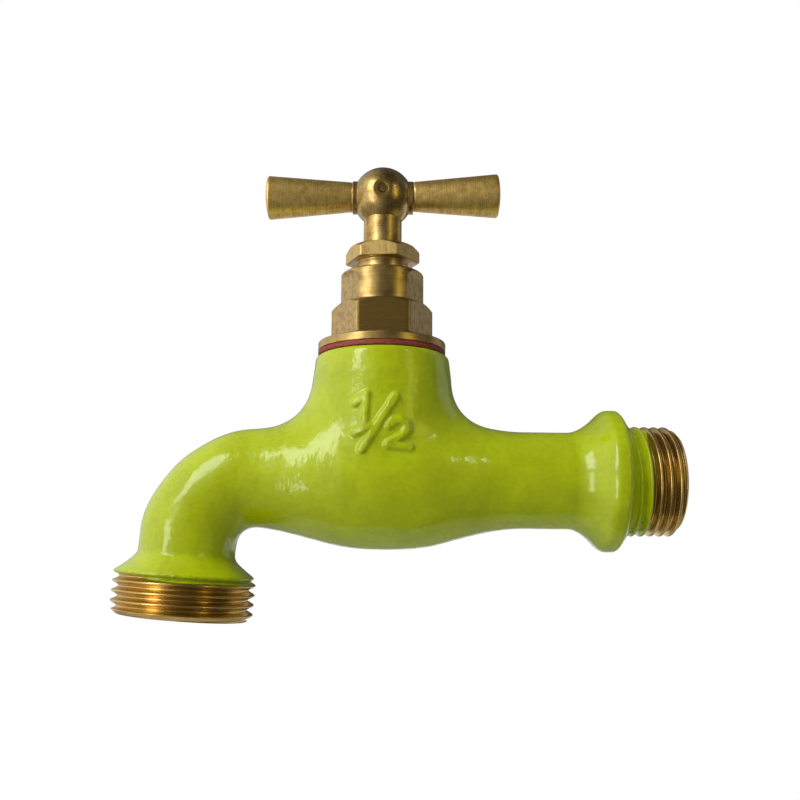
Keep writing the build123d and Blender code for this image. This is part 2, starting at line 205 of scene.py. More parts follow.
class Finishes(PropertyGroup):
    """Colours and roughnesses."""

    enamel: colour("Enamel", "Lime green stoving enamel", 0.46, 0.555, 0.004)
    enamel_deep: colour("Thin enamel", "Enamel where it runs thin", 0.365, 0.44, 0.003)
    brass: colour("Brass", "Cut brass", 0.66, 0.46, 0.16)
    brass_dark: colour("Dark brass", "Brass gone brown", 0.24, 0.145, 0.036)
    thread: colour("Thread", "Freshly cut threads", 0.80, 0.56, 0.19)
    thread_dark: colour("Thread stain", "Brown in the threads' roots", 0.38, 0.235, 0.055)
    satin: colour("Satin brass", "Finely turned skin of the arms", 0.98, 0.68, 0.20)
    satin_dark: colour("Worn satin", "The same where it is stained", 0.52, 0.32, 0.08)
    forged: colour("Forged brass", "Sandy forged skin", 0.54, 0.39, 0.16)
    forged_dark: colour("Stained brass", "Forged skin where it is stained", 0.30, 0.19, 0.06)
    fibre: colour("Fibre", "Vulcanised fibre", 0.40, 0.06, 0.035)
    enamel_rough: share("Enamel roughness", "Roughness of the enamel", 0.13)


class StageSizes(PropertyGroup):
    """The camera, the lamps and the floor."""

    camera_x: length("Camera X", "Place of the camera along the wall thread", -53.0456)
    camera_y: length("Camera Y", "Place of the camera in front of the tap", -185.0708)
    camera_z: length("Camera Z", "Height of the camera", -14.701)
    yaw: angle("Yaw", "Camera's turn about the upright", -1.0549)
    pitch: angle("Pitch", "Camera's tilt upwards", 8.6706)
    roll: angle("Roll", "Camera's turn about its own axis", -0.47446)
    focal: FloatProperty(
        name="Focal length", description="Lens in millimetres", default=43.52, subtype="DISTANCE_CAMERA"
    )
    shift_x: share("Shift X", "How far the lens is shifted sideways", 0.0294)
    shift_y: share("Shift Y", "How far the lens is shifted up", 0.0115)
    # Glow of the painted reflection shell: dark to the right of the tap and pale at its left end
    reflection_glow_dark: share("Dark cloth", "Glow of the cloth that gloss sees to the right of the tap", 0.09)
    reflection_glow_pale: share("Pale cloth", "Glow of the same cloth at its left end", 1.0)
    floor_height: length("Floor", "Height of the floor", -360.0)
    sky: share("Sky light", "Strength of the even light from all round", 0.25)


# Curves and profiles

def smooth_min(a, b, size):
    """The lesser of two arrays, with a round of the given size where they cross:
    least - h * h * size / 4, where h is 1 - |a - b| / size and not under 0."""
    h = np.maximum(1.0 - np.abs(a - b) / size, 0.0)
    return np.minimum(a, b) - h * h * size * 0.25


def smooth_max(a, b, size):
    """The greater of two arrays, rounded the same way."""
    return -smooth_min(-a, -b, size)


def ramp(value, low, high):
    """0 below low, 1 above high, and 3t² - 2t³ between them."""
    t = np.clip((value - low) / (high - low), 0.0, 1.0)
    return t * t * (3.0 - 2.0 * t)


def rounded(corners, step):
    """A turned outline: straight runs between corners, each corner an arc of its own radius.
    A corner is (place along the axis, radius, rounding). Its arc starts at rounding / tan(half the
    corner's angle) before it, and no two points lie further apart than step."""
    t = np.linspace(0.0, 1.0, 6)[:, None]
    points = []
    for i, (along, radius, bend) in enumerate(corners):
        here = np.array((along, radius))
        if bend == 0.0:
            points.append(here)
            continue
        back = np.array(corners[i - 1][:2]) - here
        ahead = np.array(corners[i + 1][:2]) - here
        back /= np.linalg.norm(back)
        ahead /= np.linalg.norm(ahead)
        half = np.arccos(np.clip(back @ ahead, -1.0, 1.0)) / 2
        middle = here + (back + ahead) / np.linalg.norm(back + ahead) * bend / sin(half)
        start = here + back * bend / tan(half) - middle
        end = here + ahead * bend / tan(half) - middle
        turn = pi - 2 * half
        arc = start * np.sin((1 - t) * turn) / sin(turn) + end * np.sin(t * turn) / sin(turn)
        points.extend(middle + arc)
    points = np.array(points)
    gaps = np.linalg.norm(np.diff(points, axis=0), axis=1)
    runs = [
        np.linspace(points[i], points[i + 1], max(int(np.ceil(gap / step)), 1), endpoint=False)
        for i, gap in enumerate(gaps)
        if gap > 1e-9
    ]
    return np.concatenate(runs + [points[-1:]])


def polygon_r(angles, apothem, sides, first_flat, round_size):
    """Polar outline of a regular polygon: apothem / cos(angle from the nearest flat's middle),
    with its corners eased by a smooth minimum with the corner circle."""
    step = 2 * pi / sides
    off = np.mod(angles - first_flat + step / 2, step) - step / 2
    corner = apothem / cos(step / 2)
    return smooth_min(apothem / np.cos(off), np.full_like(angles, corner - round_size), 2 * round_size)


def thread_drop(phase, pitch):
    """How far a Whitworth thread's surface lies under its crests. phase is in pitches from a crest.
    The crest and the root are arcs of 0.1373 pitch, and the flanks lean 27.5 degrees."""
    off = np.abs(np.mod(phase + 0.5, 1.0) - 0.5) * pitch
    lean = radians(27.5)
    arc_r = 0.1373 * pitch
    arc_reach = arc_r * cos(lean)
    depth = 0.6403 * pitch
    crest = arc_r - np.sqrt(np.maximum(arc_r**2 - off**2, 0.0))
    flank = arc_r * (1 - sin(lean)) + (off - arc_reach) / tan(lean)
    root_off = np.minimum(pitch / 2 - off, arc_r)
    root = depth - arc_r + np.sqrt(np.maximum(arc_r**2 - root_off**2, 0.0))
    return np.where(off < arc_reach, crest, np.where(off > pitch / 2 - arc_reach, root, flank))


# Meshes

def full_turn(columns):
    """Even angles once round."""
    return np.arange(columns) * 2 * pi / columns


def all_round(outline, columns):
    """An outline's radii, the same in every column."""
    return np.repeat(outline[:, 1:2], columns, axis=1)


def ring_quads(rows, columns, closed_rows=False):
    """Quads of a grid of rows that each close round on themselves, and, if asked, whose last row
    meets its first. The corner at row r, column c has the number r * columns + c."""
    row = np.arange(rows if closed_rows else rows - 1)[:, None]
    column = np.arange(columns)[None, :]
    ahead = (column + 1) % columns
    above = (row + 1) % rows
    low, high = row * columns, above * columns
    return np.stack((low + column, low + ahead, high + ahead, high + column), axis=-1).reshape(-1, 4)


def keep_mark(mesh, mark, values):
    """Keeps a named value at each point, for the material to read."""
    attribute = mesh.attributes.new(mark, "FLOAT", "POINT")
    attribute.data.foreach_set("value", values.astype(np.float32).ravel())


def skin(name, points, quads, material, marks=None):
    """A smooth closed mesh from an array of points and one of quads. Points that coincide are welded,
    so poles close, and the faces are turned outwards. marks are values kept at the points."""
    mesh = bpy.data.meshes.new(name)
    points = np.ascontiguousarray(points.reshape(-1, 3))
    mesh.vertices.add(len(points))
    mesh.vertices.foreach_set("co", points.astype(np.float32).ravel())
    mesh.loops.add(quads.size)
    mesh.loops.foreach_set("vertex_index", quads.astype(np.int32).ravel())
    mesh.polygons.add(len(quads))
    mesh.polygons.foreach_set("loop_start", np.arange(0, quads.size, 4, dtype=np.int32))
    mesh.update(calc_edges=True)
    for mark, values in (marks or {}).items():
        keep_mark(mesh, mark, values)
    shell = bmesh.new()
    shell.from_mesh(mesh)
    bmesh.ops.remove_doubles(shell, verts=shell.verts, dist=1e-8)
    bmesh.ops.recalc_face_normals(shell, faces=shell.faces)
    shell.to_mesh(mesh)
    shell.free()
    mesh.shade_smooth()
    mesh.materials.append(material)
    piece = bpy.data.objects.new(name, mesh)
    bpy.context.scene.collection.objects.link(piece)
    return piece


def about(along, radius, angles, origin, axis, side):
    """Points of a turned grid: origin + axis * along + radius * (side * cos + up * sin),
    where up is square to axis and side. along has a value for each row, and radius one for each row or
    for each row and column."""
    axis = np.asarray(axis, float)
    side = np.asarray(side, float)
    up = np.cross(axis, side)
    radius = radius if np.ndim(radius) == 2 else radius[:, None]
    radius = np.broadcast_to(radius, (len(radius), len(angles)))
    spoke = side * np.cos(angles)[:, None] + up * np.sin(angles)[:, None]
    return np.asarray(origin) + along[:, None, None] * axis + radius[..., None] * spoke


def dress(piece, body, node):
    """The piece moves with a body and stands for the node, whose own mesh is hidden."""
    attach(piece, body)
    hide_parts(node)


# Shader maths

class Wire:
    """A number in a material. An expression on wires adds the Math nodes that it needs."""

    def __init__(self, paint, socket):
        self.paint = paint
        self.socket = socket

    def math(self, operation, *values):
        """One Math node."""
        return self.paint.node("ShaderNodeMath", {"operation": operation}, dict(enumerate(values)))

    def __add__(self, other):
        return self.math("ADD", self, other)

    __radd__ = __add__

    def __sub__(self, other):
        return self.math("SUBTRACT", self, other)

    def __rsub__(self, other):
        return self.math("SUBTRACT", other, self)

    def __mul__(self, other):
        return self.math("MULTIPLY", self, other)

    __rmul__ = __mul__

    def __truediv__(self, other):
        return self.math("DIVIDE", self, other)

    def __rtruediv__(self, other):
        return self.math("DIVIDE", other, self)

    def __pow__(self, other):
        return self.math("POWER", self, other)

    def ramp(self, low, high):
        """0 at low and 1 at high, held outside, with a soft start and end."""
        settings = {"interpolation_type": "SMOOTHSTEP"}
        values = {"Value": self, "From Min": low, "From Max": high}
        return self.paint.node("ShaderNodeMapRange", settings, values)


class Paint:
    """A material, its Principled shader, and the one method that makes its nodes."""

    def __init__(self, name, **constants):
        self.material = bpy.data.materials.new(name)
        self.material.use_nodes = True
        self.tree = self.material.node_tree
        self.shader = self.tree.nodes["Principled BSDF"]
        for socket, value in constants.items():
            self.shader.inputs[socket.replace("_", " ")].default_value = value
        self.place = self.node("ShaderNodeTexCoord", {}, {}, "Object")

    def node(self, kind, settings, inputs, output=0):
        """A node of the given type: its settings first, then its sockets' values or links.
        What comes back is the chosen output, as a wire."""
        made = self.tree.nodes.new(kind)
        for setting, value in settings.items():
            setattr(made, setting, value)
        for socket, value in inputs.items():
            if isinstance(value, Wire):
                self.tree.links.new(value.socket, made.inputs[socket])
            else:
                made.inputs[socket].default_value = value
        return Wire(self, made.outputs[output])

    def to(self, socket, wire):
        """Links a wire to one of the shader's sockets."""
        self.tree.links.new(wire.socket, self.shader.inputs[socket])

    def mark(self, name):
        """A value kept at the mesh's points."""
        return self.node("ShaderNodeAttribute", {"attribute_name": name}, {}, "Fac")

    def noise(self, size, detail=3.0, place=None, stretch=None, seed=0.0):
        """Noise with lumps of about the given size in metres, stretched along the axes if asked."""
        scale = tuple(1.0 / (size * s) for s in (stretch or (1.0, 1.0, 1.0)))
        shift = (seed, seed * 0.7, seed * 1.3)
        values = {"Vector": place or self.place, "Scale": scale, "Location": shift}
        moved = self.node("ShaderNodeMapping", {}, values)
        return self.node("ShaderNodeTexNoise", {}, {"Vector": moved, "Scale": 1.0, "Detail": detail}, "Fac")

    def mix(self, mask, first, second):
        """A colour between two, as the mask goes from 0 to 1."""
        pair = {0: mask}
        for socket, value in ((6, first), (7, second)):
            pair[socket] = value if isinstance(value, Wire) else (*value, 1.0)
        return self.node("ShaderNodeMix", {"data_type": "RGBA"}, pair, 2)

    def bump(self, height, depth):
        """Small relief: height times depth in metres."""
        return self.node("ShaderNodeBump", {}, {"Height": height, "Distance": depth, "Strength": 1.0})

    def polar(self, first, second, axis="Z"):
        """Distance from an axis, and the place along it. The axis is parallel to Z and stands at first in
        X and second in Y, or is parallel to X and lies at first in Y and second in Z."""
        x, y, z = (self.node("ShaderNodeSeparateXYZ", {}, {"Vector": self.place}, i) for i in range(3))
        across, up, along = (x, y, z) if axis == "Z" else (y, z, x)
        across = across - first
        up = up - second
        return (across * across + up * up) ** 0.5, along

    def rings(self, distance, along, size):
        """Tool rings: noise that changes only with the distance from the axis and the place along it."""
        at = self.node("ShaderNodeCombineXYZ", {}, {"X": distance, "Y": along})
        return self.noise(size, 4.0, at)


def enamel_over_brass(name, centre):
    """Glossy enamel where the mark named paint is 1, and turned brass where it is 0."""
    finish = bpy.context.scene.tap_finishes
    paint = Paint(name, IOR=1.5)
    covered = paint.mark("paint").ramp(0.42, 0.58)
    pooling = paint.noise(7 * MM, 2.0)
    speckle = paint.noise(0.9 * MM, 2.0, seed=3.0)
    green = paint.mix((pooling * 0.6 + speckle * 0.4).ramp(0.30, 0.70), finish.enamel_deep, finish.enamel)
    distance, along = paint.polar(*centre)
    cuts = paint.rings(distance, along, 0.22 * MM)
    metal = paint.mix(cuts.ramp(0.25, 0.75), finish.thread_dark, finish.thread)
    paint.to("Base Color", paint.mix(covered, metal, green))
    paint.to("Metallic", 1 - covered)
    paint.to("Roughness", covered * finish.enamel_rough + (1 - covered) * (0.2 + cuts * 0.12))
    fine_peel = paint.noise(0.75 * MM, 2.0, seed=5.0)
    drag = paint.noise(1.3 * MM, 2.0, stretch=(1.0, 1.0, 2.6), seed=2.0)
    wave = paint.noise(5 * MM, 1.0, seed=8.0)
    relief = covered * (fine_peel * 0.35 + drag * 0.45 + wave * 2.6) + (1 - covered) * cuts * 0.15
    paint.to("Normal", paint.bump(relief, 0.11 * MM))
    return paint.material


def turned_brass(name, centre, rough=0.2, dark=0.5, marks=0.008, spot=False, flats=False):
    """Brass as it leaves the lathe: rings of slightly different colour and gloss about one axis, stained
    in soft patches. dark is how much of it is brown, and marks is the rings' depth in millimetres. The
    mark named spot gives a rough dark face, and the one named flats upright milling marks."""
    finish = bpy.context.scene.tap_finishes
    paint = Paint(name, Metallic=1.0, IOR=1.5, Coat_Weight=0.3, Coat_Roughness=0.12)
    distance, along = paint.polar(*centre)
    fine = paint.rings(distance, along, 0.13 * MM)
    stain = paint.noise(2.6 * MM, 3.0, seed=11.0)
    speck = paint.noise(0.3 * MM, 2.0, seed=4.0)
    shade = (fine * 0.3 + stain * 0.4 + speck * 0.3).ramp(0.1 + dark * 0.5, 0.35 + dark * 0.6)
    tone = paint.mix(shade, finish.brass_dark, finish.brass)
    roughness = rough + fine * 0.1
    relief = fine + speck * 0.5
    if flats:
        milled = paint.mark("flats").ramp(0.3, 0.7)
        upright = paint.noise(0.3 * MM, 3.0, stretch=(1.0, 1.0, 12.0), seed=21.0)
        tone = paint.mix(milled * upright.ramp(0.35, 0.7), tone, finish.brass)
        roughness = roughness + milled * 0.16
        relief = (1 - milled) * relief + milled * upright * 2.5
    if spot:
        face = paint.mark("spot").ramp(0.3, 0.7)
        tone = paint.mix(face * (0.75 + speck * 0.25), tone, finish.brass_dark)
        roughness = roughness + face * 0.16
    paint.to("Base Color", tone)
    paint.to("Roughness", roughness)
    paint.to("Normal", paint.bump(relief, marks * MM))
    return paint.material


def satin_brass(name):
    """The arms' satin: fine lathe rings along X under a soft sandy grain, with small brown specks."""
    finish = bpy.context.scene.tap_finishes
    paint = Paint(name, Metallic=1.0, IOR=1.5, Coat_Weight=0.2, Coat_Roughness=0.25)
    distance, along = paint.polar(0.0, 0.0, "X")
    fine = paint.rings(distance * 0.02, along, 0.16 * MM)
    grain = paint.noise(0.16 * MM, 3.0)
    mottle = paint.noise(1.3 * MM, 3.0, seed=6.0)
    specks = paint.noise(0.35 * MM, 2.0, seed=13.0).ramp(0.6, 0.74)
    shade = (grain * 0.3 + mottle * 0.35 + fine * 0.35).ramp(0.34, 0.62)
    tone = paint.mix(shade, finish.satin_dark, finish.satin)
    paint.to("Base Color", paint.mix(specks * 0.55, tone, finish.brass_dark))
    paint.to("Roughness", 0.34 + grain * 0.12)
    paint.to("Normal", paint.bump(grain + fine * 0.8 + mottle * 0.8, 0.012 * MM))
    return paint.material


def bonnet_brass(name):
    """The bonnet's three finishes: turned by default, forged where the mark named forged is 1, and
    brushed sideways where the mark named brushed_dark_reflection is 1. The brushed faces are also
    painted mostly dark brown, a painted dark reflection."""
    finish = bpy.context.scene.tap_finishes
    paint = Paint(name, Metallic=1.0, IOR=1.5, Coat_Weight=0.3, Coat_Roughness=0.15)
    forged = paint.mark("forged").ramp(0.35, 0.65)
    brushed_dark_reflection = paint.mark("brushed_dark_reflection").ramp(0.35, 0.65)
    distance, along = paint.polar(valve_x, 0.0)
    fine = paint.rings(distance, along, 0.13 * MM)
    stain = paint.noise(3.0 * MM, 2.0, seed=4.0)
    grain = paint.noise(0.16 * MM, 3.0)
    mottle = paint.noise(1.1 * MM, 3.0, seed=6.0)
    brush = paint.noise(0.12 * MM, 3.0, stretch=(16.0, 16.0, 1.0), seed=9.0)
    turned_tone = paint.mix((fine * 0.35 + stain * 0.65).ramp(0.28, 0.72), finish.brass_dark, finish.brass)
    forged_tone = paint.mix((grain * 0.5 + mottle * 0.5).ramp(0.33, 0.6), finish.forged_dark, finish.forged)
    # Painted dark reflection: the brushed faces are mostly dark brass, with faint pale brush streaks
    brushed_dark_reflection_tone = paint.mix(brush.ramp(0.45, 1.4), finish.brass_dark, finish.brass)
    tone = paint.mix(brushed_dark_reflection, paint.mix(forged, turned_tone, forged_tone), brushed_dark_reflection_tone)
    paint.to("Base Color", tone)
    paint.to("Roughness", 0.31 + fine * 0.08 + forged * (0.16 + grain * 0.1) + brushed_dark_reflection * 0.08)
    plain = (1 - forged) * (1 - brushed_dark_reflection)
    relief = plain * fine * 0.2 + forged * (grain * 0.8 + mottle * 2.5) + brushed_dark_reflection * brush * 0.5
    paint.to("Normal", paint.bump(relief, 0.02 * MM))
    return paint.material


def fibre_red(name):
    """Pressed red fibre: short threads round the edge, matt, with pale and dark flecks."""
    finish = bpy.context.scene.tap_finishes
    paint = Paint(name, Roughness=0.7, IOR=1.45)
    threads = paint.noise(0.25 * MM, 3.0, stretch=(3.0, 3.0, 0.5))
    dark = tuple(0.35 * part for part in finish.fibre)
    paint.to("Base Color", paint.mix(threads.ramp(0.3, 0.75), dark, finish.fibre))
    paint.to("Normal", paint.bump(threads, 0.05 * MM))
    return paint.material


def dull_solid(name, dark, pale, rough, lump):
    """A soft hidden part, such as rubber or graphite yarn, mottled between two shades."""
    paint = Paint(name, IOR=1.45)
    mottle = paint.noise(lump, 3.0)
    paint.to("Base Color", paint.mix(mottle.ramp(0.3, 0.7), dark, pale))
    paint.to("Roughness", rough + mottle * 0.1)
    paint.to("Normal", paint.bump(mottle, lump * 0.1))
    return paint.material


# The casting's field

# The size mark's strokes, in millimetres right of and above the valve's foot
numeral_strokes = (
    ((-5.1, 12.7), (-3.0, 14.3), (-3.5, 8.2)),
    ((-5.1, 7.4), (-2.4, 8.3)),
    ((2.3, 14.0), (-3.8, 4.3)),
    ((1.1, 8.6), (2.0, 9.5), (3.2, 9.7), (4.3, 9.1), (4.5, 8.0), (3.7, 6.9), (0.9, 5.2), (4.9, 4.8)),
)


class CastingField:
    """The casting's outer skin as a field: under 0 inside, over 0 outside, and 0 on the skin.
    Barrel, bend and drop are a tube about one centre line, and the neck is a column about the valve's
    axis. The two join by a smooth minimum, and the numerals raise the front."""

    # The distance that a stretch of the tube gives where it doesn't run, and the rounding of its ends
    elsewhere = 1.0
    end_round = 0.3 * MM

    # The collar: its flare, its rim, its back, and where its lean sets in along the barrel
    flare_overshoot = 1.05
    rim_round = 1.2 * MM
    back_overshoot = 1.1
    back_power = 1.25
    back_round = 0.9 * MM
    lean_start = -14 * MM
    lean_full = -8 * MM

    # The elbow: the part of it over which its outer side flattens, and how its thin inner side ends
    dip_share = 0.4
    dip_fade_start = 0.2 * MM
    dip_fade_end = 2.5 * MM
    corner_start = 3 * MM
    corner_reach = 8.5 * MM

    # The skirt: how far its flare aims past the rim, its slope under the rim, and the rim's rounding
    skirt_overshoot = 0.35 * MM
    skirt_undercut = 2.6
    skirt_round = 0.5 * MM

    # The neck: the waist at its foot, and how its soft hollow changes from the spout's side to the wall's
    foot_waist = 0.8 * MM
    foot_waist_height = 9 * MM
    blend_change = 8 * MM
    least_blend = 0.03

    # The outlet's hidden way, as a share of the wall's
    hose_way_share = 0.6

    # The size mark: its field on the front, its height and edges, and how unevenly they are cast
    mark_middle = 10 * MM
    mark_half = 9 * MM
    mark_front = -6 * MM
    mark_height = 0.58 * MM
    mark_waver = 0.07 * MM
    edge_waver = 0.05 * MM
    stroke_full = 0.3 * MM
    stroke_foot = 1.15 * MM

    # Newton's steps
    probe_step = 0.01 * MM
    longest_step = 0.6 * MM
    least_slope = 0.05

    def __init__(self, sizes):
        self.c = sizes
        outlet = mounts["outlet"]
        down = np.array(outlet["axis"], float)
        face = np.array(mounts["outlet_end"]["pos_m"], float)
        start = np.array(outlet["pos_m"], float)
        self.outlet = start + down * ((face - start) @ down)
        self.up = -down
        self.out = np.array((-self.up[2], 0.0, self.up[0]))
        self.bend_centre = self.outlet + self.up * sizes.spout_drop - self.out * sizes.bend_r
        self.bend_angle = np.arctan2(-self.out[0], self.out[2])
        self.hose_way_depth = sizes.water_depth * self.hose_way_share

    def barrel_r(self, x):
        """Tube radius + belly + collar. The belly is a squared cosine about the valve, the flare a
        power of the way to the rim, and the collar's back an exponential run-out."""
        c = self.c
        off = x - valve_x - c.belly_shift
        reach = np.where(off > 0, c.belly_wall_reach, c.belly_spout_reach)
        swell = np.cos(np.minimum(np.abs(off) / reach, 1.0) * pi / 2) ** 2
        way = np.clip((x + c.flare_start) / (c.flare_start - c.flare_end), 0.0, 1.2)
        flare = (c.collar_r - c.tube_r) * self.flare_overshoot * way**c.flare_power
        radius = c.tube_r + (c.belly_r - c.tube_r) * swell + flare
        radius = smooth_min(radius, np.full_like(x, c.collar_r), self.rim_round)
        run = np.maximum(x + c.back_start, 0.0) / c.back_length
        fall = np.exp(-(run**self.back_power))
        back = c.back_foot_r + (c.collar_r - c.back_foot_r) * self.back_overshoot * fall
        return smooth_min(radius, back, self.back_round)

    def skirt_gain(self, height):
        """Growth of the drop's radius: a power of the way down to the skirt's rim."""
        c = self.c
        run = c.skirt_rise + self.skirt_overshoot
        way = np.clip((c.skirt_height + c.skirt_rise - height) / run, 0.0, 1.3)
        return (c.skirt_r - c.tube_r) * way**c.skirt_power

    def barrel(self, p):
        """Distance from the barrel's axis less its radius, where the collar leans a little: once as if
        the barrel went on for ever, and once as it ends, at the bend and at the wall."""
        c = self.c
        leaning = p[:, 0] - c.collar_lean * p[:, 2] * ramp(p[:, 0], self.lean_start, self.lean_full)
        endless = np.hypot(p[:, 1], p[:, 2]) - self.barrel_r(leaning)
        ended = np.where(p[:, 0] >= self.bend_centre[0], endless, self.elsewhere)
        return endless, smooth_max(ended, p[:, 0] + c.wall_end, self.end_round)

    def bend(self, p, swing, turn):
        """Distance from the elbow's centre line less a radius that carries on from the barrel's. Dips
        flatten the outer side in the middle and thin the inner side towards the drop."""
        c = self.c
        inward = np.hypot(swing - c.bend_r, p[:, 1]) + 1e-9
        side = (swing - c.bend_r) / inward
        way = np.clip(turn / self.bend_angle, 0.0, 1.0)
        part = self.dip_share
        dip = c.outer_dip * ramp(way, 0.0, part) * ramp(1 - way, 0.0, part) * np.maximum(side, 0.0) ** 2
        dip = dip + c.inner_dip * ramp(way, 0.2, 1.0) * np.maximum(-side, 0.0) ** 2
        radius = self.barrel_r(self.bend_centre[0] - np.maximum(turn, 0.0) * c.bend_r)
        in_bend = (turn >= 0) & (turn <= self.bend_angle)
        return np.where(in_bend, inward - radius + dip, self.elsewhere)

    def drop(self, p):
        """Distance from the drop's axis less a radius that grows into the skirt, which is cut under its
        rim, and each point's height over the outlet's face."""
        c = self.c
        off = p - self.outlet
        height = off @ self.up
        across = off @ self.out
        spread = np.hypot(across, p[:, 1]) + 1e-9
        level = height + c.skirt_lean * across
        gain = self.skirt_gain(height)
        thin = 1 - ramp(gain, self.dip_fade_start, self.dip_fade_end)
        radius = c.tube_r - c.inner_dip * np.maximum(-across / spread, 0.0) ** 2 * thin + gain
        cut = np.maximum(c.skirt_height - level, 0.0) * self.skirt_undercut
        radius = smooth_min(radius, c.skirt_r + self.skirt_overshoot - cut, self.skirt_round)
        return spread - radius, height

    def tube(self, p):
        """Least of the distances to the barrel, the bend and the drop, each where it runs, and in the
        elbow's inner corner of a smooth minimum of barrel and drop."""
        c = self.c
        off = p - self.bend_centre
        swing = np.hypot(off[:, 0], off[:, 2])
        bend = self.bend(p, swing, np.arctan2(-off[:, 0], off[:, 2]))
        endless_barrel, barrel = self.barrel(p)
        endless_drop, height = self.drop(p)
        drop = np.where(height <= c.spout_drop, endless_drop, self.elsewhere)
        drop = smooth_max(drop, c.skirt_end - height, self.end_round)
        reach = c.inner_fill * (1 - ramp(swing, self.corner_start, self.corner_reach)) + 0.01 * MM
        corner = smooth_min(endless_barrel, endless_drop, reach)
        corner = np.where(swing < self.corner_reach, corner, self.elsewhere)
        return np.minimum(np.minimum(barrel, bend), np.minimum(drop, corner))

    def neck(self, p):
        """Distance from the valve's axis, less a radius that grows downwards, cut at the face."""
        c = self.c
        radius = c.neck_top_r + c.neck_draft * np.clip(c.neck_top - p[:, 2], 0.0, c.neck_draft_height)
        radius = radius - self.foot_waist * (1 - ramp(p[:, 2], 0.0, self.foot_waist_height))
        column = np.hypot(p[:, 0] - valve_x - c.neck_shift, p[:, 1]) - radius
        column = smooth_max(column, p[:, 2] - c.neck_top, c.neck_edge)
        return np.maximum(column, -p[:, 2])

    def ways(self, p):
        """The hidden water ways: cylinders from both ends, behind the threads' own bores."""
        c = self.c
        from_wall = np.maximum(np.hypot(p[:, 1], p[:, 2]) - c.water_r, -c.water_depth - p[:, 0])
        off = p - self.outlet
        from_hose = np.hypot(off @ self.out, p[:, 1]) - c.water_r
        return np.minimum(from_wall, np.maximum(from_hose, off @ self.up - self.hose_way_depth))

    def numerals(self, p):
        """Height of the raised size mark, a half, on the front: full within half a stroke's width of
        its strokes, and soft and uneven at their edges."""
        beside = np.abs(p[:, 0] - valve_x) < self.mark_half
        level = np.abs(p[:, 2] - self.mark_middle) < self.mark_half
        near = (p[:, 1] < self.mark_front) & beside & level
        raised = np.zeros(len(p))
        if not near.any():
            return raised
        flat = p[near][:, (0, 2)] - (valve_x, 0.0)
        gap = np.full(len(flat), self.elsewhere)
        for stroke in numeral_strokes:
            for start, end in zip(stroke[:-1], stroke[1:]):
                start = np.array(start) * MM
                run = np.array(end) * MM - start
                t = np.clip((flat - start) @ run / (run @ run), 0.0, 1.0)
                gap = np.minimum(gap, np.linalg.norm(flat - start - t[:, None] * run, axis=1))
        x, z = flat.T
        uneven = np.sin(x / (0.53 * MM) + 1.0) + np.sin(z / (0.61 * MM) + x / (0.9 * MM))
        edge = 1 - ramp(gap + self.edge_waver * uneven, self.stroke_full, self.stroke_foot)
        raised[near] = (self.mark_height + self.mark_waver * uneven) * edge
        return raised

    def outer(self, p):
        """Smooth minimum of tube and neck. Its reach shrinks as both surfaces come to face the same
        way: by 1 - y² / (distance from the valve's axis * distance from the barrel's)."""
        c = self.c
        from_valve = np.hypot(p[:, 0] - valve_x, p[:, 1])
        from_barrel = np.hypot(p[:, 1], p[:, 2])
        facing = 1 - p[:, 1] ** 2 / np.maximum(from_valve * from_barrel, 1e-9)
        wallward = ramp(p[:, 0] - valve_x, -self.blend_change, self.blend_change)
        reach = c.neck_blend + (c.neck_wall_blend - c.neck_blend) * wallward
        reach = reach * np.clip(facing, self.least_blend, 1.0)
        return smooth_min(self.tube(p), self.neck(p), reach) - self.numerals(p)

    def whole(self, p):
        """The outer skin less the hidden ways."""
        return np.maximum(self.outer(p), -self.ways(p))

    def settle(self, p, rounds):
        """Newton steps onto the skin: each point moves by -value * slope / slope²."""
        probes = np.eye(3) * self.probe_step
        for _ in range(rounds):
            value = self.whole(p)
            rises = [self.whole(p + probe) - self.whole(p - probe) for probe in probes]
            slope = np.stack(rises, axis=1) / (2 * self.probe_step)
            size = np.maximum((slope**2).sum(axis=1), self.least_slope)
            move = slope * (value / size)[:, None]
            far = np.linalg.norm(move, axis=1, keepdims=True)
            p = p - move * np.minimum(1.0, self.longest_step / np.maximum(far, 1e-12))
        return p


# The casting's mesh

def point_array(mesh):
    """The mesh's points as one array."""
    points = np.empty(len(mesh.vertices) * 3, np.float32)
    mesh.vertices.foreach_get("co", points)
    return points.reshape(-1, 3).astype(float)


def edge_array(mesh):
    """The mesh's edges as pairs of point numbers."""
    edges = np.empty(len(mesh.edges) * 2, np.int32)
    mesh.edges.foreach_get("vertices", edges)
    return edges.reshape(-1, 2)


def move_points(mesh, points):
    """Puts the mesh's points where an array says."""
    mesh.vertices.foreach_set("co", points.astype(np.float32).ravel())
    mesh.update()


def relaxed(points, edges, amount):
    """Each point goes part of the way to the mean of its neighbours."""
    ends = edges.ravel()
    others = edges[:, ::-1].ravel()
    sums = [np.bincount(ends, weights=points[others, axis], minlength=len(points)) for axis in range(3)]
    count = np.bincount(ends, minlength=len(points))[:, None]
    return points + amount * (np.stack(sums, axis=1) / np.maximum(count, 1) - points)


def remesh(piece, size):
    """The piece's mesh becomes the outer skin of all its shells, in even quads of the given size."""
    modifier = piece.modifiers.new("even", "REMESH")
    modifier.mode = "VOXEL"
    modifier.voxel_size = size
    bpy.context.view_layer.update()
    mesh = bpy.data.meshes.new_from_object(piece.evaluated_get(bpy.context.evaluated_depsgraph_get()))
    piece.modifiers.remove(modifier)
    old = piece.data
    piece.data = mesh
    bpy.data.meshes.remove(old)


def relax_onto(piece, field, passes):
    """Relaxes the mesh and settles it on the field's skin, in turns."""
    points = point_array(piece.data)
    edges = edge_array(piece.data)
    for i in range(passes):
        rounds = 4 if i == passes - 1 else 2
        points = field.settle(relaxed(points, edges, 0.5), rounds)
    move_points(piece.data, points)


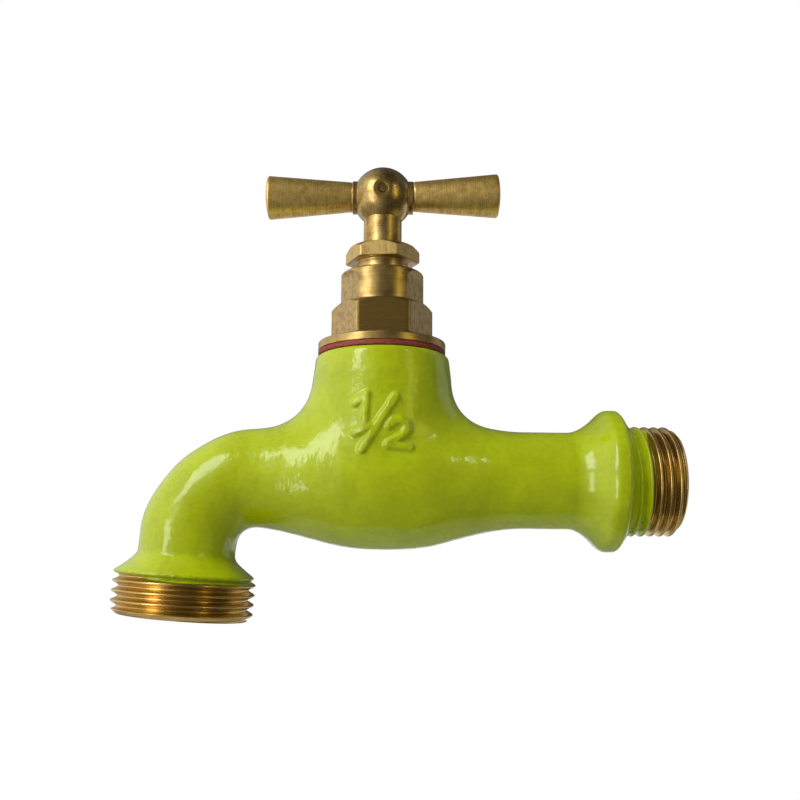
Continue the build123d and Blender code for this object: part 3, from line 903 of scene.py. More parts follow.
def fair(piece, place, reach, passes):
    """Evens out the curvature within a reach of one place: each pass relaxes the points by 0.6 and
    then pushes them back by 0.61, so that small bumps go and the form stays."""
    points = point_array(piece.data)
    edges = edge_array(piece.data)
    near = 1 - ramp(np.linalg.norm(points - place, axis=1), 0.5 * reach, reach)
    touched = edges[(near[edges] > 0).any(axis=1)]
    used = np.unique(touched)
    number = np.zeros(len(points), np.int64)
    number[used] = np.arange(len(used))
    links = number[touched]
    weight = near[used][:, None]
    local = points[used]
    for _ in range(passes):
        for amount in (0.6, -0.61):
            local = local + weight * (relaxed(local, links, amount) - local)
    points[used] = local
    move_points(piece.data, points)


class TAP_OT_casting(Operator):
    """Casting: barrel, belly, neck, elbow, collar and skirt as one smooth field's skin"""

    bl_idname = "tap.casting"
    bl_label = "Casting"

    def execute(self, context):
        """A rough tube along the centre line and a rough column are joined by a voxel remesh, and the
        even mesh is settled on the field, coarse first and then fine. The elbow and the back of the
        neck's foot are faired, because their light would show the slightest kink."""
        sizes = context.scene.tap_casting
        field = CastingField(sizes)
        enamel = enamel_over_brass("green_enamel_cast", (valve_x, 0.0))
        body = self.rough_tube(field, enamel)
        self.join(body, self.rough_neck(sizes, enamel))
        for grain, passes in ((2 * sizes.grain, 4), (sizes.grain, 6)):
            remesh(body, grain)
            relax_onto(body, field, passes)
        self.sharpen_numerals(body, field)
        behind_neck = np.array((valve_x, 11 * MM, 6 * MM))
        fair(body, field.bend_centre, 16 * MM, 60)
        fair(body, behind_neck, 15 * MM, 90)
        body.data.shade_smooth()
        margin = 0.3 * MM
        in_ways = field.ways(point_array(body.data)) < margin
        keep_mark(body.data, "paint", np.where(in_ways, 0.0, 1.0))
        dress(body, "tap", "tap_body")
        return {"FINISHED"}

    def rough_tube(self, field, material):
        """Circles along the barrel, the bend and the drop. The first row turns back into the wall's
        hidden way, which ends in a pole, and the last closes on the centre line."""
        sizes = field.c
        columns = 64
        angles = full_turn(columns)
        x = np.linspace(-sizes.wall_end, field.bend_centre[0], 90)
        turns = np.linspace(0.0, field.bend_angle, 24)[1:]
        heights = np.linspace(sizes.spout_drop, sizes.skirt_end, 24)[1:]
        bend_out = np.stack((-np.sin(turns), 0 * turns, np.cos(turns)), axis=1)
        line = np.concatenate((
            np.stack((x, 0 * x, 0 * x), axis=1),
            field.bend_centre + sizes.bend_r * bend_out,
            field.outlet + heights[:, None] * field.up,
        ))
        outward = np.concatenate((np.tile(UP, (len(x), 1)), bend_out, np.tile(field.out, (len(heights), 1))))
        radius = np.concatenate((
            field.barrel_r(x),
            np.full(len(turns), sizes.tube_r),
            np.minimum(sizes.tube_r + field.skirt_gain(heights), sizes.skirt_r),
        ))
        across = np.array((0.0, 1.0, 0.0))
        spokes = outward[:, None] * np.cos(angles)[:, None] + across * np.sin(angles)[:, None]
        skin_rows = line[:, None] + radius[:, None, None] * spokes
        way_ends = np.array((-sizes.wall_end, -sizes.water_depth))
        way = about(way_ends, np.full(2, sizes.water_r), angles, (0, 0, 0), (1, 0, 0), (0, 0, 1))
        way = np.roll(way[:, ::-1], 1, axis=1)
        way_pole = way[1:].mean(axis=1, keepdims=True).repeat(columns, 1)
        end_pole = line[-1:, None].repeat(columns, 1)
        rows = np.concatenate((way_pole, way[1:], way[:1], skin_rows, end_pole))
        return skin("casting", rows, ring_quads(len(rows), columns), material)

    def rough_neck(self, sizes, material):
        """A plain column, a little thinner than the neck."""
        heights = np.array((0.0, 0.0, sizes.neck_top, sizes.neck_top))
        radius = np.array((0.0, 0.97, 0.97, 0.0)) * sizes.neck_top_r
        points = about(heights, radius, full_turn(64), (valve_x, 0, 0), UP, (1, 0, 0))
        return skin("neck", points, ring_quads(4, 64), material)

    def join(self, body, other):
        """The other piece's mesh goes into the body's, and the piece goes."""
        both = bmesh.new()
        both.from_mesh(body.data)
        both.from_mesh(other.data)
        both.to_mesh(body.data)
        both.free()
        bpy.data.objects.remove(other)

    def sharpen_numerals(self, body, field):
        """Faces about the size mark are cut in four and settled again, so that its edges are crisp."""
        shell = bmesh.new()
        shell.from_mesh(body.data)
        edges = set()
        for face in shell.faces:
            x, y, z = face.calc_center_median()
            in_mark = abs(x - valve_x) < 8 * MM and 2 * MM < z < 17.5 * MM
            if in_mark and y < -8 * MM and face.normal.y < -0.3:
                edges.update(face.edges)
        bmesh.ops.subdivide_edges(shell, edges=list(edges), cuts=1, use_grid_fill=True)
        shell.to_mesh(body.data)
        shell.free()
        move_points(body.data, field.settle(point_array(body.data), 4))


class TAP_OT_threads(Operator):
    """Wall thread and hose thread: helical surfaces on a grid of places and angles, with their bores"""

    bl_idname = "tap.threads"
    bl_label = "Threads"

    row_step = 0.062 * MM
    paint_film = 0.05 * MM
    paint_fade = 0.06 * MM
    chamfer_round = 0.12 * MM
    back_wall = 0.6 * MM

    def execute(self, context):
        """The wall thread runs along X, and the hose thread up the outlet's axis from its face."""
        self.wall(context.scene.tap_threads)
        self.hose(context.scene.tap_threads, CastingField(context.scene.tap_casting))
        return {"FINISHED"}

    def rows(self, start, end):
        """Even places along a thread."""
        return np.linspace(start, end, int(round(abs(end - start) / self.row_step)) + 1)

    def crests(self, t, way, angles, crest_r, crest_at, paint, chamfer, cover):
        """radius(place, angle) = crest radius - Whitworth drop of (place - crest) / pitch - angle / turn,
        thickened by the paint's film, and held under the end's chamfer and under the casting's cover."""
        turn = angles / (2 * pi)
        radius = crest_r - thread_drop((way[:, None] - crest_at) / t.pitch - turn, t.pitch)
        radius = smooth_min(radius + self.paint_film * paint, chamfer, self.chamfer_round)
        return np.minimum(radius, cover)

    def close(self, name, material, back, way, radius, paint, bore, place):
        """Back, thread and bore as one closed skin. The mark named paint is kept on the thread's rows."""
        columns = radius.shape[1]
        along = np.concatenate((back[:, 0], way, bore[:, 0]))
        radii = np.concatenate((all_round(back, columns), radius, all_round(bore, columns)))
        mark = np.zeros_like(radii)
        mark[len(back):len(back) + len(way)] = paint
        points = about(along, radii, full_turn(columns), *place)
        piece = skin(name, points, ring_quads(len(along), columns), material, {"paint": mark})
        dress(piece, "tap", "tap_body")

    def wall(self, t):
        """The wall thread, from the collar's back to the end, and its blind bore. The paint runs out on
        its first turns, along an uneven edge."""
        angles = full_turn(288)
        x = self.rows(-2.6 * MM, t.wall_end)
        edge = (1.6 - 0.6 * np.maximum(-np.cos(angles), 0.0) + 0.1 * np.sin(7 * angles)) * MM
        paint = 1 - ramp(x[:, None], edge - self.paint_fade, edge + self.paint_fade)
        chamfer = t.wall_rim_r + (t.wall_end - x[:, None]) * 1.05
        cover = t.wall_crest_r + 0.3 * MM - np.maximum(-1.4 * MM - x, 0.0)[:, None] * 2.0
        radius = self.crests(t, x, angles, t.wall_crest_r, t.wall_crest_at, paint, chamfer, cover)
        chamfered = 0.45 * MM
        blind = -28 * MM
        bore = rounded((
            (t.wall_end, t.wall_rim_r, 0),
            (t.wall_end, t.bore_r + chamfered, 0.1 * MM),
            (t.wall_end - chamfered, t.bore_r, 0.1 * MM),
            (blind, t.bore_r, 0),
            (blind, 0, 0),
        ), 2 * MM)[1:]
        end = blind - 1 * MM
        back = np.array(((end, 0), (end, t.bore_r + self.back_wall), (-2.9 * MM, t.bore_r + self.back_wall)))
        metal = enamel_over_brass("wall_thread_metal", (0.0, 0.0, "X"))
        self.close("wall_thread", metal, back, x, radius, paint, bore, ((0, 0, 0), (1, 0, 0), (0, 1, 0)))

    def hose(self, t, field):
        """The hose thread, from under the skirt to the outlet's face, with its mouth and blind bore. The
        paint ends on its upper turns, along an edge that wanders."""
        angles = full_turn(320)
        h = self.rows(9.0 * MM, 0.0)
        wander = 0.35 * np.sin(angles) + 1.2 * ramp(-np.cos(angles), 0.3, 0.9) + 0.08 * np.sin(5 * angles)
        edge = (7.1 + wander) * MM
        paint = ramp(h[:, None], edge - self.paint_fade, edge + self.paint_fade)
        chamfer = t.hose_rim_r + h[:, None] * 1.15
        cover = t.hose_crest_r + 0.1 * MM - np.maximum(h - 7.3 * MM, 0.0)[:, None] * 2.5
        radius = self.crests(t, h, angles, t.hose_crest_r, t.hose_crest_at, paint, chamfer, cover)
        chamfered = 0.3 * MM
        blind = 16 * MM
        bore = rounded((
            (0, t.hose_rim_r, 0),
            (0, t.counterbore_r + chamfered, 0.1 * MM),
            (chamfered, t.counterbore_r, 0.1 * MM),
            (t.counterbore_depth, t.counterbore_r, 0.2 * MM),
            (t.counterbore_depth, t.bore_r, 0.2 * MM),
            (blind, t.bore_r, 0),
            (blind, 0, 0),
        ), 1 * MM)[1:]
        end = blind + 1 * MM
        back = np.array(((end, 0), (end, t.bore_r + self.back_wall), (9.3 * MM, t.bore_r + self.back_wall)))
        metal = enamel_over_brass("hose_thread_metal", (field.outlet[0], 0.0))
        place = (field.outlet, field.up, -field.out)
        self.close("hose_thread", metal, back, h, radius, paint, bore, place)


class TAP_OT_bonnet(Operator):
    """Bonnet: flange, spanner hexagon and round block with four forged flats, as one polar tower"""

    bl_idname = "tap.bonnet"
    bl_label = "Bonnet"

    def execute(self, context):
        """Each row has a height and, for each angle, a radius: a circle, the hexagon's polar outline held
        under a turned chamfer, or the block's circle held under four flats. Two marks say where the skin
        is forged and where it is brushed and painted dark as a reflection."""
        b = context.scene.tap_bonnet
        count = 576
        angles = full_turn(count)
        hex_half = b.hex_flats / 2
        outline = polygon_r(angles, hex_half, 6, radians(30), 0.12 * MM)
        corner = hex_half / cos(radians(30))
        hole = b.gland_r + 0.06 * MM
        foot = rounded((
            (b.flange_foot, hole, 0),
            (b.flange_foot, b.flange_r, 0.12 * MM),
            (b.flange_top, b.flange_r, 0.35 * MM),
            (b.flange_top + b.flange_slope, corner + 0.3 * MM, 0),
        ), 0.25 * MM)
        hex_z, hexagon = self.hexagon(b, outline, corner)
        block_z, block = self.block(b, angles)
        inward = np.linspace(0.0, 1.0, 12)[:, None]
        hex_face = (hexagon[-1] - 0.1 * MM) * (1 - inward[:-1]) + block[0] * inward[:-1]
        top_face = (block[-1] - 0.05 * MM) * (1 - inward) + hole * inward
        face_z = np.full(len(hex_face), b.hex_top)
        z = np.concatenate((foot[:, 0], hex_z, face_z, block_z, np.full(len(top_face), b.block_top)))
        radius = np.concatenate((all_round(foot, count), hexagon, hex_face, block, top_face))
        on_hex = slice(len(foot), len(foot) + len(hex_z))
        block_start = on_hex.stop + len(hex_face)
        on_block = slice(block_start, block_start + len(block_z))
        turn = np.degrees(angles)
        # The hexagon's front and back flats are brushed, and painted dark as a dark reflection
        brushed_dark_reflection_side = (np.abs(turn - 270) < 29.5) | (np.abs(turn - 90) < 29.5)
        brushed_dark_reflection = np.zeros_like(radius)
        brushed_dark_reflection[on_hex] = brushed_dark_reflection_side
        forged = np.zeros_like(radius)
        forged[on_hex] = (outline - hexagon < 0.06 * MM) & ~brushed_dark_reflection_side
        on_flat = block < b.block_r - 0.07 * MM
        forged[on_block] = on_flat & (b.block_top - block_z > 0.35 * MM)[:, None]
        points = about(z, radius, angles, (valve_x, 0, 0), UP, (1, 0, 0))
        brass = bonnet_brass("bonnet_brass")
        marks = {"forged": forged, "brushed_dark_reflection": brushed_dark_reflection}
        piece = skin("bonnet_tower", points, ring_quads(len(z), count, True), brass, marks)
        dress(piece, "tap", "bonnet")
        return {"FINISHED"}

    def hexagon(self, b, outline, corner):
        """The polygon's outline under a cone that chamfers its corners. It spreads by a square law where
        it stands on the flange."""
        chamfer = 0.9 * MM
        z = np.concatenate((
            np.linspace(b.flange_top + b.flange_slope, b.hex_top - chamfer, 24),
            np.linspace(b.hex_top - 0.85 * MM, b.hex_top - 0.08 * MM, 16),
        ))
        cone = corner - 0.1 * MM - np.maximum(z - b.hex_top + chamfer, 0.0)[:, None] * 1.35
        spread = np.maximum(0.5 * MM - (z - z[0]), 0.0)[:, None]
        return z, smooth_min(outline, cone, 0.15 * MM) + spread**2 / (1.0 * MM)

    def block(self, b, angles):
        """A circle under four flats that run out near the top, with a rounded upper edge. It spreads by
        a square law at its foot."""
        z = np.concatenate((
            np.linspace(b.hex_top, b.block_top - 1.9 * MM, 20),
            np.linspace(b.block_top - 1.85 * MM, b.block_top - 0.05 * MM, 30),
        ))
        flat_at = b.block_flat + np.maximum(z - b.block_top + 1.5 * MM, 0.0) ** 1.5 * 16.0
        radius = np.full((len(z), len(angles)), b.block_r)
        for side in (30, 150, 210, 330):
            lean = np.cos(angles - radians(side))
            cut = np.where(lean > 0.5, flat_at[:, None] / np.maximum(lean, 0.5), 1.0)
            radius = smooth_min(radius, cut, 0.12 * MM)
        edge = 0.45 * MM
        past = np.maximum(edge - (b.block_top - z), 0.0)
        radius = radius - edge + np.sqrt(np.maximum(edge**2 - past**2, 0.0))[:, None]
        spread = np.maximum(0.35 * MM - (z - z[0]), 0.0)[:, None]
        return z, radius + spread**2 / (0.7 * MM)


class TAP_OT_fibre_ring(Operator):
    """Fibre ring: a turned ring whose edge wavers a little under the flange"""

    bl_idname = "tap.fibre_ring"
    bl_label = "Fibre ring"

    def execute(self, context):
        """A rounded rectangle turned about the valve's axis, its edge waved by two slow sines."""
        b = context.scene.tap_bonnet
        angles = full_turn(288)
        inner = b.gland_r + 3 * MM
        top = b.flange_foot - 0.01 * MM
        outline = rounded((
            (b.ring_foot, inner, 0),
            (b.ring_foot, b.ring_r, 0.3 * MM),
            (top, b.ring_r, 0.3 * MM),
            (top, inner, 0),
        ), 0.4 * MM)
        wave = 1 - 0.002 * (1 + np.sin(5 * angles + 1.0)) - 0.0015 * (1 + np.sin(13 * angles))
        points = about(outline[:, 0], outline[:, 1:2] * wave, angles, (valve_x, 0, 0), UP, (1, 0, 0))
        fibre = fibre_red("red_fibre_pressed")
        piece = skin("fibre_ring", points, ring_quads(len(outline), len(angles), True), fibre)
        dress(piece, "tap", "bonnet_gasket")
        return {"FINISHED"}


class TAP_OT_gland(Operator):
    """Gland nut: round shank and small hexagon with turned corners, as one polar tower"""

    bl_idname = "tap.gland"
    bl_label = "Gland nut"

    def execute(self, context):
        """Circle rows for the shank, then the hexagon's polar outline held under a chamfer's cone. The
        mark named flats is 1 where the outline isn't chamfered."""
        b = context.scene.tap_bonnet
        count = 720
        angles = full_turn(count)
        half = b.gland_flats / 2
        outline = polygon_r(angles, half, 6, radians(30) + b.gland_turn, 0.08 * MM)
        foot = b.block_top - 3 * MM
        shank = rounded((
            (foot, b.stem_hole_r, 0),
            (foot, b.gland_r, 0.2 * MM),
            (b.gland_seat, b.gland_r, 0.15 * MM),
            (b.gland_seat, half - 0.25 * MM, 0),
        ), 0.2 * MM)
        z = np.concatenate((
            np.linspace(b.gland_seat, b.gland_seat + 0.15 * MM, 5),
            np.linspace(b.gland_seat + 0.25 * MM, b.gland_top - 1.0 * MM, 12),
            np.linspace(b.gland_top - 0.95 * MM, b.gland_top - 0.03 * MM, 20),
        ))
        cone = half + b.gland_chamfer - np.maximum(z - b.gland_top + b.gland_chamfer, 0.0)
        head = smooth_min(outline, cone[:, None], 0.12 * MM)
        head = head - 0.09 * MM * np.maximum(1 - (z - b.gland_seat) / (0.12 * MM), 0.0)[:, None] ** 2
        inward = np.linspace(0.0, 1.0, 10)[:, None]
        top = (head[-1] - 0.05 * MM) * (1 - inward) + (b.stem_hole_r + 0.25 * MM) * inward
        hole_top = b.gland_top - 0.25 * MM
        hole = rounded(((hole_top, b.stem_hole_r, 0), (foot + 0.1 * MM, b.stem_hole_r, 0)), 0.5 * MM)
        along = np.concatenate((shank[:, 0], z, np.full(len(top), b.gland_top), hole[:, 0]))
        radius = np.concatenate((all_round(shank, count), head, top, all_round(hole, count)))
        flats = np.zeros_like(radius)
        flats[len(shank):len(shank) + len(z)] = outline - head < 0.1 * MM
        points = about(along, radius, angles, (valve_x, 0, 0), UP, (1, 0, 0))
        brass = turned_brass("gland_brass", (valve_x, 0.0), rough=0.3, dark=0.42, flats=True)
        piece = skin("gland_cap", points, ring_quads(len(along), count, True), brass, {"flats": flats})
        dress(piece, "tap", "gland_nut")
        return {"FINISHED"}


class TAP_OT_hub(Operator):
    """Hub: the ball with its two bosses, spot faces and the pin's seams"""

    bl_idname = "tap.hub"
    bl_label = "Hub"

    def execute(self, context):
        """A ball with two bosses turned about the arms' axis, with finer columns to the front and back.
        Points past the spot face are drawn back to it, and those over the pin are sunk below its end. A
        groove runs round the pin, with the depth of a bell curve."""
        s = context.scene.tap_handle
        dense = np.linspace(-17.0, 17.0, 120, endpoint=False)
        coarse = np.linspace(17.0, 163.0, 56, endpoint=False)
        angles = np.radians(np.concatenate((dense, coarse, dense + 180, coarse + 180)))
        meet = sqrt(s.ball_r**2 - s.boss_r**2)
        boss = rounded((
            (-s.boss_face, 0, 0),
            (-s.boss_face, s.boss_r, 0.15 * MM),
            (-meet, s.boss_r, 0),
        ), 0.1 * MM)
        finer_from = 1.9
        low = np.linspace(np.arctan2(s.boss_r, -meet), finer_from, 30)[1:]
        middle = np.linspace(finer_from, pi - finer_from, 90)[1:-1]
        turns = np.concatenate((low, middle, pi - low[::-1]))
        ball = np.stack((s.ball_r * np.cos(turns), s.ball_r * np.sin(turns)), axis=1)
        outline = np.concatenate((boss, ball, boss[::-1] * (-1, 1)))
        points = about(outline[:, 0], outline[:, 1], angles, (0, 0, 0), (1, 0, 0), (0, 1, 0))
        depth = np.abs(points[..., 1])
        from_pin = np.hypot(points[..., 0], points[..., 2])
        groove_half = 0.12 * MM
        groove = 0.14 * MM * np.exp(-(((from_pin - s.pin_r - groove_half) / groove_half) ** 2))
        sunk = 0.5 * MM * (1 - ramp(from_pin, s.pin_r - 0.02 * MM, s.pin_r + 0.08 * MM))
        flat = smooth_min(depth, np.full_like(depth, s.spot_depth), 0.06 * MM)
        flat = np.where(depth > 4 * MM, flat - groove - sunk, flat)
        spot = (depth > s.spot_depth - 0.01 * MM).astype(float)
        points[..., 1] = np.sign(points[..., 1]) * np.where(depth > 1e-6, flat, depth)
        centre = np.array((valve_x, 0.0, s.ball_height))
        points = centre + points @ np.stack((handle_along, -handle_front, UP))
        brass = turned_brass("hub_brass", (0.0, s.ball_height, "X"), rough=0.25, dark=0.5, spot=True)
        piece = skin("hub_ball", points, ring_quads(len(outline), len(angles)), brass, {"spot": spot})
        dress(piece, "handle", "handle_hub")
        return {"FINISHED"}


class TAP_OT_arms(Operator):
    """Arms: two tapered bars with a rounded rim and a slightly domed end"""

    bl_idname = "tap.arms"
    bl_label = "Arms"

    def execute(self, context):
        """A straight taper turned about the arms' axis, from the boss to a rim, then a dome whose height
        falls off with the square of the distance from its middle."""
        s = context.scene.tap_handle
        start = s.boss_face - 0.2 * MM
        rim = s.arm_end_r - 0.35 * MM
        rim_rise = 0.15 * MM
        bar = rounded((
            (start, 0, 0),
            (start, s.arm_root_r - 0.15 * MM, 0.05 * MM),
            (s.boss_face + 0.35 * MM, s.arm_root_r + 0.05 * MM, 0.1 * MM),
            (s.arm_reach - 0.1 * MM, s.arm_end_r, 0.4 * MM),
            (s.arm_reach + rim_rise, rim, 0),
        ), 0.5 * MM)
        way = np.linspace(1.0, 0.0, 16)
        dome_x = s.arm_reach + rim_rise + (s.arm_dome - rim_rise) * (1 - way**2)
        outline = np.concatenate((bar, np.stack((dome_x, rim * way), axis=1)[1:]))
        axis = handle_along * cos(s.arm_lean) + UP * sin(s.arm_lean)
        middle = (valve_x, 0, s.ball_height + s.arm_rise)
        angles = full_turn(256)
        quads = ring_quads(len(outline), len(angles))
        for name, side in (("left", -1.0), ("right", 1.0)):
            points = about(outline[:, 0], outline[:, 1], angles, middle, side * axis, handle_front)
            piece = skin(f"arm_{name}", points, quads, satin_brass(f"arm_{name}_brass"))
            dress(piece, "handle", f"handle_arm_{name}")
        return {"FINISHED"}


class TAP_OT_inner_parts(Operator):
    """Finishes of the pieces that keep their construction solids: stem, pin, packing and valve"""

    bl_idname = "tap.inner_parts"
    bl_label = "Stem, pin and inner parts"

    def execute(self, context):
        """Each node's material slots are filled with its own procedural material."""
        valve = (valve_x, 0.0)
        graphite = ((0.02, 0.02, 0.02), (0.09, 0.09, 0.09))
        rubber = ((0.01, 0.01, 0.01), (0.03, 0.03, 0.03))
        finishes = {
            "spindle": turned_brass("stem_brass", valve, rough=0.32, dark=0.45, marks=0.003),
            "handle_pin": turned_brass("pin_metal", valve, rough=0.26, dark=0.55),
            "gland_washer": turned_brass("washer_brass", valve),
            "valve_jumper": turned_brass("jumper_brass", valve),
            "washer_nut": turned_brass("nut_brass", valve),
            "gland_packing": dull_solid("graphite_yarn", *graphite, 0.55, 0.6 * MM),
            "valve_washer": dull_solid("black_rubber_soft", *rubber, 0.6, 1.0 * MM),
        }
        for node, material in finishes.items():
            mesh = frame["nodes"][node].data
            for i in range(len(mesh.materials)):
                mesh.materials[i] = material
            if not mesh.materials:
                mesh.materials.append(material)
        return {"FINISHED"}


# The stage

# Azimuth from the camera's side, elevation, distance, width, height, radiance, tint, and whether only
# gloss sees the lamp. The others light the tap and gloss doesn't see them.
lamps = {
    "window_upper": (-45, 34, 0.6, 0.19, 0.38, 5.2, (1, 1, 1), True),
    "window_lower": (-45, -10, 0.6, 0.17, 0.38, 4.6, (1, 1, 1), True),
    "window_right": (46, 10, 0.7, 0.13, 0.35, 1.9, (1, 0.85, 0.2), True),
    "glint_right": (46, 32, 0.7, 0.06, 0.05, 12.0, (1, 0.95, 0.7), True),
    "key": (-40, 27, 0.6, 0.38, 0.36, 6.0, (1, 1, 1), False),
    "side_box": (-85, 22, 0.6, 0.40, 0.45, 1.8, (1, 1, 1), False),
    "ceiling": (-10, 80, 0.7, 0.5, 0.3, 1.6, (1, 1, 1), False),
}


class TAP_OT_stage(Operator):
    """Stage: pale floor, white surroundings, soft lamps and the camera"""

    bl_idname = "tap.stage"
    bl_label = "Stage"

    def execute(self, context):
        """Camera, lamps, floor, painted reflection shell and surroundings, about a point in the middle of the tap.
        """
        s = context.scene.tap_stage
        scene = context.scene
        centre = Vector((valve_x, 0.0, 15 * MM))
        self.camera(scene, s)
        for name, values in lamps.items():
            self.lamp(scene, name, centre, *values)
        self.floor(s.floor_height)
        self.cloth(centre, s.reflection_glow_dark, s.reflection_glow_pale)
        self.world(scene, s.sky)
        scene.view_settings.view_transform = "Standard"
        return {"FINISHED"}

    def camera(self, scene, s):
        """The camera looks along +Y. Its turn is yaw about the upright, then pitch, then roll."""
        camera = bpy.data.cameras.new("camera")
        camera.lens = s.focal
        camera.sensor_width = 36.0
        camera.shift_x = s.shift_x
        camera.shift_y = s.shift_y
        camera.clip_start = 1 * MM
        holder = bpy.data.objects.new("camera", camera)
        turn = (Matrix.Rotation(s.yaw, 4, "Z") @ Matrix.Rotation(s.pitch, 4, "X")
                @ Matrix.Rotation(s.roll, 4, "Y") @ Matrix.Rotation(pi / 2, 4, "X"))
        holder.matrix_world = Matrix.Translation((s.camera_x, s.camera_y, s.camera_z)) @ turn
        scene.collection.objects.link(holder)
        scene.camera = holder

    def lamp(self, scene, name, centre, azimuth, elevation, distance, width, height, radiance, tint, gloss):
        """An area lamp on a sphere about the tap, looking at its middle. Its power is
        radiance * area * pi."""
        east = sin(radians(azimuth)) * cos(radians(elevation))
        front = -cos(radians(azimuth)) * cos(radians(elevation))
        away = Vector((east, front, sin(radians(elevation))))
        light = bpy.data.lights.new(name, "AREA")
        light.shape = "RECTANGLE"
        light.size = width
        light.size_y = height
        light.energy = radiance * width * height * pi
        light.color = tint
        holder = bpy.data.objects.new(name, light)
        turn = (-away).to_track_quat("-Z", "Y").to_matrix().to_4x4()
        holder.matrix_world = Matrix.Translation(centre + distance * away) @ turn
        holder.visible_glossy = gloss
        holder.visible_diffuse = not gloss
        scene.collection.objects.link(holder)

    def floor(self, height):
        """A round pale floor: a fine polar grid with one centre point. The camera sees it nearly white."""
        columns = 96
        rings = np.linspace(0.0, 1.2, 12)
        points = about(0 * rings, rings, full_turn(columns), (valve_x, 0, height), UP, (1, 0, 0))
        paint = Paint("pale_floor", Roughness=0.9, Specular_IOR_Level=0.1)
        cloud = paint.noise(0.2, 2.0)
        paint.to("Base Color", paint.mix(cloud, (0.86, 0.86, 0.86), (0.88, 0.88, 0.88)))
        seen = paint.node("ShaderNodeLightPath", {}, {}, "Is Camera Ray")
        white = paint.node("ShaderNodeEmission", {}, {"Color": (1, 1, 1, 1), "Strength": 1.0})
        plain = Wire(paint, paint.shader.outputs[0])
        lit = paint.node("ShaderNodeMixShader", {}, {0: seen * 0.93, 1: plain, 2: white})
        paint.tree.links.new(lit.socket, paint.tree.nodes["Material Output"].inputs["Surface"])
        skin("floor", points, ring_quads(len(rings), columns), paint.material)

    def cloth(self, centre, dark, pale):
        """A painted reflection round the tap: a dark shell that glows and that only gloss sees, between two
        domes over a flatter bowl. It reaches under the tap in front, and its edge rises to a little under
        the horizon behind. Its glow is painted light, brighter towards its left end, as a wall is beside a
        window, and somewhat brighter behind on the right."""
        columns = 72
        half_rows = 32
        inner, outer = 0.95, 0.96
        flattened = 0.62
        azimuths = np.linspace(-180.0, 180.0, columns, endpoint=False)
        behind = ramp(np.abs(azimuths), 85.0, 110.0)
        edge = np.radians(-88.0 + 73.0 * behind)[:, None]
        way = np.linspace(0.0, 1.0, half_rows)
        lift = edge + (pi / 2 - edge) * np.concatenate((way, way[::-1]))
        far = np.repeat((inner, outer), half_rows)
        azimuths = np.radians(azimuths)[:, None]
        height = np.where(lift > 0, far, far - flattened) * np.sin(lift)
        flat = far * np.cos(lift)
        points = np.stack((np.sin(azimuths) * flat, -np.cos(azimuths) * flat, height), axis=-1)
        # Painted reflection: a dark shell that glows, brighter to the left, as surroundings lit by a window
        paint = Paint("painted_reflection_glow", Roughness=1.0, Specular_IOR_Level=0.0, Emission_Strength=1.0)
        x, y = (paint.node("ShaderNodeSeparateXYZ", {}, {"Vector": paint.place}, i) for i in range(2))
        rightward = (x - centre[0]) / inner
        backward = y / inner
        glow_unevenness = paint.noise(0.15, 2.0)
        glow = (glow_unevenness * 0.1 - rightward).ramp(-0.05, 1.0)
        glow = glow + rightward.ramp(0.6, 0.85) * backward.ramp(0.05, 0.3) * 0.5
        paint.to("Base Color", paint.mix(glow_unevenness, (0.01, 0.01, 0.01), (0.03, 0.03, 0.03)))
        paint.to("Emission Color", paint.mix(glow, (dark,) * 3, (pale,) * 3))
        quads = ring_quads(columns, 2 * half_rows, True)
        shell = skin("cloth", np.array(centre) + points, quads, paint.material)
        shell.visible_camera = False
        shell.visible_diffuse = False
        shell.visible_shadow = False

    def world(self, scene, strength):
        """Even grey light, seen as plain white by the camera, by gloss and through glass."""
        world = bpy.data.worlds.new("surroundings")
        world.use_nodes = True
        scene.world = world
        tree = world.node_tree
        back = tree.nodes["Background"]
        back.inputs["Color"].default_value = (1, 1, 1, 1)
        path = tree.nodes.new("ShaderNodeLightPath")
        seen = path.outputs["Is Camera Ray"]
        for way in ("Is Glossy Ray", "Is Transmission Ray"):
            either = tree.nodes.new("ShaderNodeMath")
            either.operation = "MAXIMUM"
            tree.links.new(seen, either.inputs[0])
            tree.links.new(path.outputs[way], either.inputs[1])
            seen = either.outputs[0]
        level = tree.nodes.new("ShaderNodeMapRange")
        level.inputs["To Min"].default_value = strength
        level.inputs["To Max"].default_value = 1.0
        tree.links.new(seen, level.inputs["Value"])
        tree.links.new(level.outputs[0], back.inputs["Strength"])


operators = (
    TAP_OT_casting, TAP_OT_threads, TAP_OT_bonnet, TAP_OT_fibre_ring, TAP_OT_gland, TAP_OT_hub, TAP_OT_arms,
    TAP_OT_inner_parts, TAP_OT_stage,
)
groups = {
    "tap_casting": CastingSizes, "tap_threads": ThreadSizes, "tap_bonnet": BonnetSizes,
    "tap_handle": HandleSizes, "tap_finishes": Finishes, "tap_stage": StageSizes,
}


class TAP_PT_pieces(Panel):
    """The tap's sizes and one button for each group of pieces"""

    bl_idname = "TAP_PT_pieces"
    bl_label = "Garden tap"
    bl_space_type = "VIEW_3D"
    bl_region_type = "UI"
    bl_category = "Garden tap"

    def draw(self, context):
        """Buttons first, then every group's values."""
        for operator in operators:
            self.layout.operator(operator.bl_idname)
        for name, group in groups.items():
            box = self.layout.box()
            box.label(text=group.__doc__)
            for value in group.__annotations__:
                box.prop(getattr(context.scene, name), value)


def register():
    """Adds the property groups, the operators and the panel."""
    for group in groups.values():
        bpy.utils.register_class(group)
    for name, group in groups.items():
        setattr(bpy.types.Scene, name, PointerProperty(type=group))
    for operator in operators:
        bpy.utils.register_class(operator)
    bpy.utils.register_class(TAP_PT_pieces)


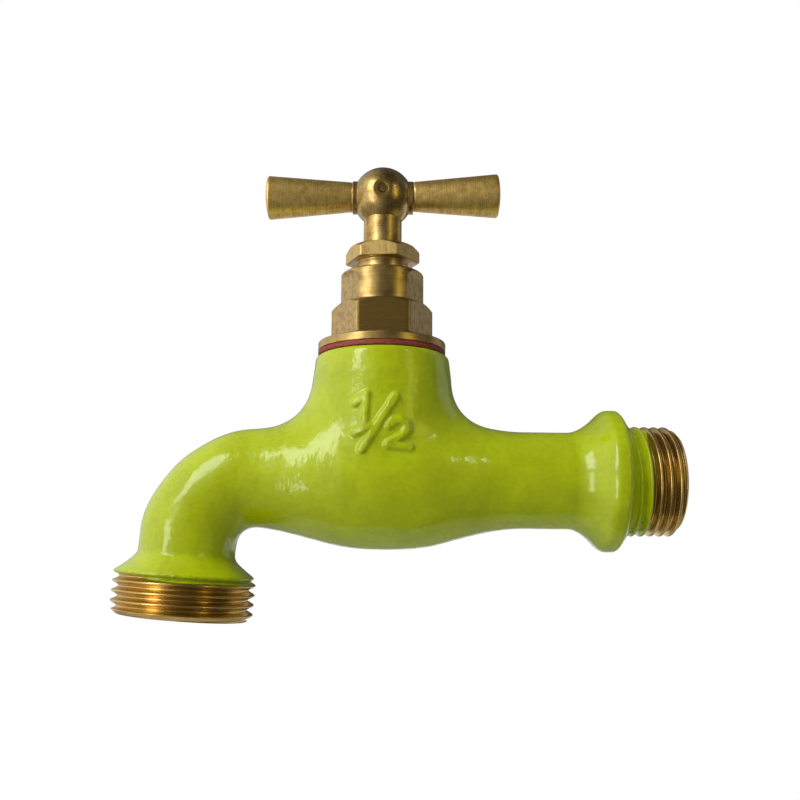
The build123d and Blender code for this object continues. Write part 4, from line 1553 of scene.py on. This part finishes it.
def unregister():
    """Takes them away again."""
    bpy.utils.unregister_class(TAP_PT_pieces)
    for operator in reversed(operators):
        bpy.utils.unregister_class(operator)
    for name, group in reversed(groups.items()):
        delattr(bpy.types.Scene, name)
        bpy.utils.unregister_class(group)


def main():
    """Registers the add-on and makes every piece in order."""
    register()
    for operator in operators:
        getattr(bpy.ops.tap, operator.bl_idname.split(".")[1])()


if __name__ == "__main__":
    main()
